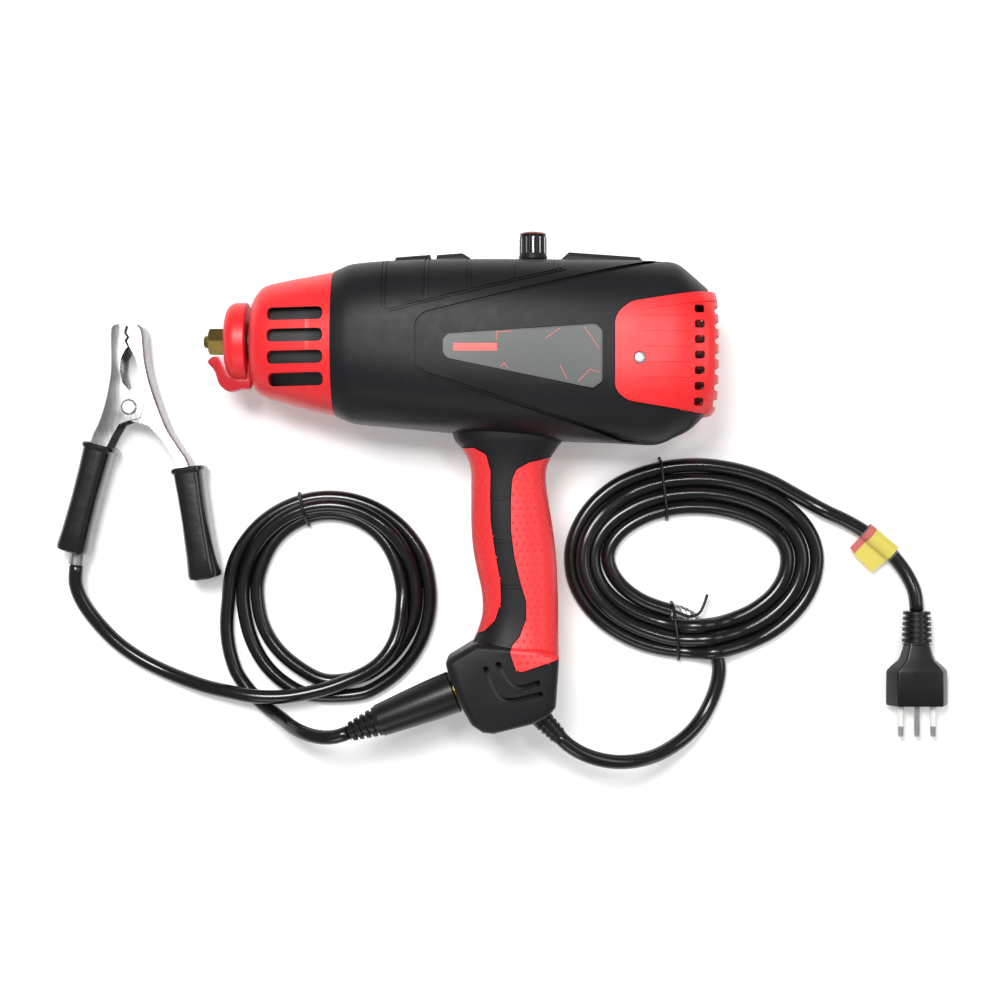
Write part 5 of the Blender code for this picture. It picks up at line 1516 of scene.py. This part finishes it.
@dataclass
class Nose:
    """The slotted cone, the brass collet in its middle and the clamp ring with its wing."""

    slots: int = 4
    first_y: float = 56.0
    pitch: float = 12.0
    slot: tuple[float, float, float] = (-105.0, -73.6, 7.2)

    def build(self) -> None:
        """Builds the cone, then what it carries."""
        cone = barrel(NOSE, 0)
        spigot = (BARREL[0], BARREL[1])
        cone = union(cone, barrel(spigot, -WALL - GAP, per=1, from_x=-83.2, to_x=-61.2))
        cone = cut(cone, barrel(NOSE[1:], -2.6, per=2, from_x=NOSE_FRONT + 3, to_x=-83.2),
                   barrel(spigot, -WALL - GAP - 2, per=1, from_x=-85.2, to_x=-57.2),
                   turned(((-10, 12), (20, 12)), (NOSE_FRONT, NOSE_Y, MID), (1, 0, 0), 40))
        low, high, height = self.slot
        for number in range(self.slots):
            y = self.first_y + number * self.pitch
            outline = fillet([(low, y - height / 2), (high, y - height / 2), (high, y + height / 2),
                              (low, y + height / 2)], height / 2, 6)
            cone = cut(cone, through(outline))
        finished(cone, "cone", Finish.NOSE.material, "welder", ("nose_cone",))
        # painted shade on the cone's inward faces
        self.shade_inside_faces(cone)
        # painted shade: a dark sleeve inside the cone, behind its slots, so that the slots look dark inside
        shade_sleeve = cut(barrel(NOSE[1:], -6.5, per=2, from_x=-111.0, to_x=-74.5),
                   barrel(NOSE[1:], -8.0, per=2, from_x=-113.0, to_x=-72.0))
        finished(shade_sleeve, "air_duct", Finish.INNER.material, "welder")
        self.collet()
        self.ring()

    @staticmethod
    def shade_inside_faces(cone: Piece) -> None:
        """Gives the faces that look inwards the dark inner finish: painted shade inside the cone."""
        cone.data.materials.append(Finish.INNER.material)
        axis = Vector((0, NOSE_Y, MID)) * MM
        for face in cone.data.polygons:
            out = Vector((0, face.center.y - axis.y, face.center.z - axis.z))
            if out.length > 0 and face.normal.dot(out.normalized()) < -0.35:
                face.material_index = 1

    @staticmethod
    def collet() -> None:
        """The brass collet: a hexagon with turned corners, and a domed tip with a bore."""
        centre = (0, NOSE_Y, MID)
        corners = ((-141.7, 6.9), (-140.7, 8.3), (-132.9, 8.3), (-131.9, 6.9))
        head = keep(turned(((-141.7, 8.26), (-131.9, 8.26)), centre, (1, 0, 0), 6),
                    turned(corners, centre, (1, 0, 0), 48))
        tip = ((-144.7, 2.6), (-144.4, 3.1), (-143.7, 3.5), (-141.1, 3.9), (-137.7, 6.0), (-64.2, 6.0))
        shank = turned(tip, centre, (1, 0, 0), 40)
        body = cut(union(head, shank), turned(((-149.7, 2.2), (-102.7, 2.2)), centre, (1, 0, 0), 24))
        finished(body, "collet", Finish.BRASS.material, "welder", ("electrode_collet",))

    @staticmethod
    def ring() -> None:
        """The ring with its rounded front, and the wing that turns it."""
        centre = (0, NOSE_Y, MID)
        low, high = RING_X
        ring = turned(((low, 6.5), (low, 16.4), (low + 0.4, 17.8), (low + 1.4, 19.6), (low + 3.0, 21.2),
                       (low + 5.2, 22.1), (low + 6.4, RING_RADIUS), (high - 0.6, RING_RADIUS), (high, 21.6),
                       (high, 6.5)), centre, (1, 0, 0), 72, ring=True)
        body = copy_of(ring)
        finished(ring, "collar", Finish.NOSE.material, "collar", ("clamp_ring",))
        outline = eased((*WING, WING[0]), 1.6)[:-1]
        half = 4.5
        wing = loft([[(x, y, MID + z) for x, y in offset(outline, grow)]
                     for z, grow in ((-half, -1.6), (-half + 0.5, -0.6), (-half + 1.6, 0), (half - 1.6, 0),
                                     (half - 0.5, -0.6), (half, -1.6))])
        wing = cut(wing, turned(((-200, 9.5), (0, 9.5)), centre, (1, 0, 0), 48), body)
        finished(wing, "wing", Finish.WING.material, "collar")


# ---------------------------------------------------------------- knob

@dataclass
class Knob:
    """The fluted current knob with bright inlays and a brown cap."""

    radius: float = 8.0
    low: float = 125.7
    high: float = 139.7
    flutes: int = 12

    def build(self) -> None:
        """Builds the knob, its inlays and its cap."""
        at = (KNOB_X, 0, MID)
        skirt = ((self.low, self.radius - 0.5), (self.low + 0.6, self.radius), (self.low + 2.4, self.radius),
                 (self.low + 2.8, self.radius - 0.4), (self.high - 0.7, self.radius - 0.5),
                 (self.high, self.radius - 1.2))
        body = turned(skirt, at, (0, 1, 0), 72)
        for flute in range(self.flutes):
            turn, away = math.tau * (flute + 0.5) / self.flutes, self.radius + 0.1
            spot = (KNOB_X + away * math.cos(turn), self.low, MID + away * math.sin(turn))
            body = cut(body, turned(((3.4, 1.0), (20, 1.0)), spot, (0, 1, 0), 12))
        body = cut(body, turned(((self.low - 3, 5.2), (self.low + 3.4, 5.2)), at, (0, 1, 0), 32),
                   turned(((self.low - 3, 2.1), (self.high - 2.6, 2.1)), at, (0, 1, 0), 24))
        finished(body, "dial", Finish.HOUSING.material, "knob", ("adjust_knob",))
        rows, turns = [], []
        for flute in range(self.flutes):
            turn = math.tau * flute / self.flutes
            rows.append((KNOB_X + (self.radius - 0.5) * math.cos(turn), (self.low + self.high) / 2 + 1.2,
                         MID + (self.radius - 0.5) * math.sin(turn)))
            turns.append((0.0, -turn, 0.0))
        strip = loft([[(x, y, z) for x, z in ((-0.3, -0.45), (0.3, -0.3), (0.3, 0.3), (-0.3, 0.45))]
                      for y in (-4.6, 4.6)])
        inlays = copies_on(rows, turns, strip, Finish.STEEL.material)
        finished(inlays, "dial_inlays", Finish.STEEL.material, "knob")
        top = self.high + GAP
        dome = ((top, self.radius - 0.4), (top + 0.5, self.radius - 0.3), (top + 1.0, self.radius - 0.8),
                (top + 1.35, self.radius - 2.0), (top + 1.5, 1.0))
        cap = turned(dome, at, (0, 1, 0), 64)
        finished(cap, "dial_cap", Finish.BROWN.material, "knob", ("knob_cap",))


# ---------------------------------------------------------------- boot fittings

@dataclass
class Fittings:
    """The earth plug's sleeve in the boot, and the mains cord's gland."""

    sleeve_end: float = 46.6
    relief_length: float = 19.0
    relief_radii: tuple[float, float] = (8.8, 5.2)
    gland_relief_start: float = 3.4
    gland_relief_length: float = 12.6
    gland_relief_radii: tuple[float, float] = (6.0, 4.9)

    def build(self) -> None:
        """Builds the sleeve, which turns with its pin, and the gland, which doesn't."""
        rubber = Finish.RUBBER.material
        out = heading(SOCKET_AT, SOCKET_TO)
        at = Vector((*SOCKET_AT, MID))
        taper = ((0.6, 11.6), (1.2, 12.2), (14, 11.7), (30, 10.6), (46.4, 9.3), (47.0, 8.4))
        grip = turned(taper, at, out, 48)
        grip = cut(grip, turned(((-5, 6.9), (10, 6.9)), at, out, 32))
        finished(grip, "earth_sleeve", rubber, "ground_plug", ("ground_plug_sleeve",))
        relief = ribbed(at + out * self.sleeve_end, out, self.relief_length, self.relief_radii, 5, 1.4,
                        rubber)
        finished(relief, "earth_relief", rubber, "ground_plug", crease=20)
        gland_out = heading(GLAND_AT, GLAND_TO)
        start = Vector((*GLAND_AT, MID))
        base = turned(((-14, 8.6), (-8, 8.6), (-8, 6.0), (3, 5.9), (3.6, 5.4)), start, gland_out, 40)
        finished(base, "gland", rubber, "welder", ("cord_gland",))
        sleeve = ribbed(start + gland_out * self.gland_relief_start, gland_out, self.gland_relief_length,
                        self.gland_relief_radii, 4, 0.6, rubber)
        finished(sleeve, "gland_relief", rubber, "welder", crease=20)


# ---------------------------------------------------------------- plug

@dataclass
class Plug:
    """The three-pin plug at the mains cord's end."""

    x: float = 270.3
    z: float = 10.1
    face_y: float = -132.0
    pitch: float = 9.6
    pin_radius: float = 1.85
    pin_sleeve_radius: float = 2.0
    pin_sleeve_end: float = 12.5
    pin_seat: float = -6.0

    def build(self) -> None:
        """Builds the body, its ribbed relief and the pins."""
        rows = ((37.0, 7.5, 7.2), (34.6, 8.2, 7.5), (32.4, 8.9, 7.8), (29.4, 9.8, 8.2), (26.6, 11.2, 8.7),
                (23.4, 15.2, 9.4), (20.8, 17.7, 9.8), (19.6, 18.2, 9.9), (10.0, 18.4, 10.0),
                (1.0, 18.4, 10.0), (0.0, 18.0, 9.7))
        rings = []
        for back, half_x, half_z in rows:
            outline = fillet([(-half_x, 0), (-half_x * 0.72, half_z), (half_x * 0.72, half_z), (half_x, 0),
                              (half_x * 0.72, -half_z), (-half_x * 0.72, -half_z)], 1.6, 4)
            rings.append([(self.x + a, self.face_y + back, self.z + b) for a, b in outline])
        body = loft(rings)
        for step in (-1, 0, 1):
            spot = (self.x + step * self.pitch, self.face_y, self.z)
            body = cut(body, turned(((-6.3, 2.3), (10, 2.3)), spot, (0, -1, 0), 24))
        rubber = Finish.RUBBER.material
        finished(body, "plug_shell", rubber, "welder", ("plug_body",))
        relief = ribbed((self.x, -76.6, self.z), (0, -1, 0), 19.4, (8.0, 8.9), 6, 1.7, rubber)
        finished(relief, "plug_relief", rubber, "welder", crease=20)
        for label, step in (("front", -1), ("middle", 0), ("rear", 1)):
            at = (self.x + step * self.pitch, self.face_y, self.z)
            split = self.pin_sleeve_end if step else self.pin_seat
            if step:
                radius = self.pin_sleeve_radius
                sleeve = turned(((self.pin_seat, radius), (split, radius)), at, (0, -1, 0), 32)
                finished(sleeve, f"plug_pin_sleeve_{label}", Finish.WHITE.material, "welder")
            point = ((split, self.pin_radius), (17.6, self.pin_radius), (18.6, 1.5), (19.0, 0.8))
            tip = turned(point, at, (0, -1, 0), 32)
            finished(tip, f"plug_tip_{label}", Finish.STEEL.material, "welder",
                     (f"plug_pin_{label}",))


# ---------------------------------------------------------------- earth clamp

CLAMP_Z = 14.0
PIVOT = (-192.3, 43.4)
FIXED_OUTER = (
    (-4.9, 48.8), (-9.8, 47.4), (-10.9, 43.1), (-10.8, 24.1), (-11.9, 13.8), (-14.6, 1.2), (-18.2, -9.5),
    (-21.6, -16.7), (-24.5, -27.0), (-33.9, -61.0),
)
FIXED_INNER = (
    (-24.6, -64.1), (-15.1, -27.0), (-10.1, -16.7), (-6.1, -9.9), (-0.3, -7.8), (6.4, -6.4), (8.3, -0.2),
    (6.4, 4.9), (-0.2, 9.9), (-4.0, 14.2), (-5.5, 20.4), (-4.8, 28.6), (-2.4, 33.4), (-0.8, 35.2),
    (-2.8, 38.5), (-1.4, 40.6), (-3.0, 43.1), (-1.8, 47.8),
)
MOVING_OUTER = (
    (42.1, -70.7), (35.3, -35.2), (28.8, -23.3), (21.5, -11.3), (14.4, 7.2), (10.5, 21.0), (8.8, 31.7),
    (7.7, 44.0), (5.9, 47.6), (2.3, 48.8),
)
MOVING_INNER = (
    (-0.6, 47.6), (-1.8, 43.3), (-0.1, 40.8), (-1.6, 38.3), (0.1, 35.0), (3.4, 28.6), (5.2, 21.4),
    (3.4, 14.2), (0.5, 10.0), (-5.5, 6.5), (-8.1, 0.0), (-5.0, -6.2), (1.8, -8.4), (11.0, -10.9),
    (18.2, -18.7), (24.8, -29.0), (27.5, -35.2), (33.7, -72.3),
)
FIXED_HANDLE = ((-18.5, -21.8), (-35.1, -84.9))
MOVING_HANDLE = ((32.9, -35.0), (42.9, -100.7))


@dataclass
class Clamp:
    """The earth clamp: two pressed arms on a rivet, their dipped handles and the spring."""

    sheet: float = 1.5
    bend: float = 1.4
    fixed_half: float = 11.8
    moving_half: float = 10.0
    rivet_hole: float = 3.5
    handle_half: float = 9.2
    handle_wall: float = 1.2
    spring_turns: int = 4
    spring_pitch: float = 2.7
    spring_radius: float = 5.0
    spring_wire: float = 0.9

    def build(self) -> None:
        """Builds both arms, then what holds them."""
        zinc, dip = Finish.ZINC.material, Finish.DIP.material
        for label, outer, inner, half, inward, body in (
                ("fixed", FIXED_OUTER, FIXED_INNER, self.fixed_half, 1, "welder"),
                ("moving", MOVING_OUTER[::-1], MOVING_INNER[::-1], self.moving_half, -1, "clamp_lever")):
            finished(self.arm(outer, inner, half, inward), f"jaw_{label}", zinc, body,
                     (f"clamp_arm_{label}",), 40)
        for label, ends, open_foot, body in (("fixed", FIXED_HANDLE, True, "welder"),
                                             ("moving", MOVING_HANDLE, False, "clamp_lever")):
            finished(self.sleeve(ends, open_foot), f"jaw_handle_{label}", dip, body,
                     (f"clamp_handle_{label}",))
        self.spring()

    def arm(self, outer: Outline, inner: Outline, half: float, inward: int) -> Piece:
        """A pressed channel: the web follows the outer edge, and the cheeks reach the inner edge."""
        back = [(PIVOT[0] + x, PIVOT[1] + y) for x, y in eased(outer)]
        front = [(PIVOT[0] + x, PIVOT[1] + y) for x, y in inner]
        bend = self.bend
        rings = []
        for z, pull in ((-half, bend), (-half + 0.4, bend * 0.4), (-half + bend, 0.0), (half - bend, 0.0),
                        (half - 0.4, bend * 0.4), (half, bend)):
            rings.append([(x + inward * pull, y, CLAMP_Z + z) for x, y in back]
                         + [(x, y, CLAMP_Z + z) for x, y in front])
        arm = loft(rings)
        hollow = ([(x + inward * self.sheet * 1.1, y) for x, y in back]
                  + [(x + inward * 14, y) for x, y in front])
        room = half - self.sheet
        return cut(arm, prism(hollow, CLAMP_Z - room, CLAMP_Z + room),
                   turned(((-30, self.rivet_hole), (30, self.rivet_hole)), (*PIVOT, CLAMP_Z), (0, 0, 1), 32))

    def sleeve(self, ends: tuple[tuple[float, float], tuple[float, float]], open_foot: bool) -> Piece:
        """A dipped sleeve over an arm, with a rolled collar at its top."""
        top, foot = (Vector(PIVOT) + Vector(end) for end in ends)
        along = (foot - top).normalized()
        across = Vector((-along.y, along.x))
        length = (foot - top).length

        def ring(distance: float, share: float, inset: float = 0.0) -> list[tuple[float, float, float]]:
            """One section of the sleeve."""
            centre = top + along * distance
            half = (self.handle_half * share - inset, CLAMP_Z - 0.05 - inset)
            section = oval((0, CLAMP_Z), half, 3.6, 48)
            return [(centre.x + across.x * s, centre.y + across.y * s, z) for s, z in section]

        rows = ((0.0, 1.04, 0.5), (0.6, 1.1, 0.1), (2.6, 1.1, 0.1), (3.2, 1.02, 0.3), (3.9, 0.98, 0.3),
                (length * 0.25, 0.93, 0.3), (length * 0.5, 0.91, 0.3), (length * 0.8, 0.95, 0.2),
                (length - 3.0, 1.0, 0.0), (length - 1.0, 0.99, 0.5), (length, 0.9, 1.6))
        body = loft([ring(*row) for row in rows])
        depth = length + 5 if open_foot else length - 4
        room = loft([ring(distance, share, self.handle_wall) for distance, share in (
            (-5, 0.98), (3.4, 0.98), (length * 0.5, 0.93), (depth, 0.98))])
        return cut(body, room)

    def spring(self) -> None:
        """The coiled spring round the rivet, with the end that bears on the fixed arm."""
        turns, pitch, radius = self.spring_turns, self.spring_pitch, self.spring_radius
        route = [(PIVOT[0] - 9.0, PIVOT[1] - 9.0, CLAMP_Z - turns * pitch / 2)]
        for step in range(turns * 24 + 1):
            turn = math.radians(200) + math.tau * step / 24
            route.append((PIVOT[0] + radius * math.cos(turn), PIVOT[1] + radius * math.sin(turn),
                          CLAMP_Z + pitch * (step / 24 - turns / 2)))
        wire = swept(fine_route(route, 1.4), self.spring_wire, 12)
        finished(wire, "jaw_spring", Finish.SPRING.material, "welder", ("clamp_spring",), 60)


class Inside:
    """The finish of the plain nodes that are kept as they are."""

    FINISHES = {
        "main_board": Finish.BOARD, "heat_sink": Finish.ALUMINIUM, "transformer_core": Finish.FERRITE,
        "transformer_coil": Finish.COPPER, "output_choke": Finish.COPPER, "bus_capacitor_1": Finish.INNER,
        "bus_capacitor_2": Finish.INNER, "fan_frame": Finish.INNER, "fan_rotor": Finish.INNER,
        "output_busbar": Finish.COPPER, "collet_nut": Finish.BRASS, "collet_insulator": Finish.INNER,
        "potentiometer": Finish.INNER, "potentiometer_nut": Finish.STEEL, "knob_spindle": Finish.STEEL,
        "ground_socket": Finish.BRASS, "ground_plug_pin": Finish.BRASS, "clamp_rivet": Finish.ZINC,
        "cable_lug": Finish.ZINC, **{f"shell_screw_{number}": Finish.STEEL for number in range(1, 5)},
    }

    def dress(self, nodes: dict[str, Piece]) -> None:
        """Gives each kept node its finish."""
        for name, finish in self.FINISHES.items():
            for place in nodes[name].material_slots:
                place.material = finish.material


# ---------------------------------------------------------------- main

def main() -> None:
    """Builds the scene, one assembly after the other."""
    logging.basicConfig(level=logging.INFO, format="%(name)s: %(message)s")
    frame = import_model()
    Studio().build()
    for assembly in (Housing(), Grille(), Nose(), Knob(), Fittings(), Plug(), Clamp()):
        assembly.build()
    Inside().dress(frame["nodes"])
    Cords().build()


if __name__ == "__main__":
    main()
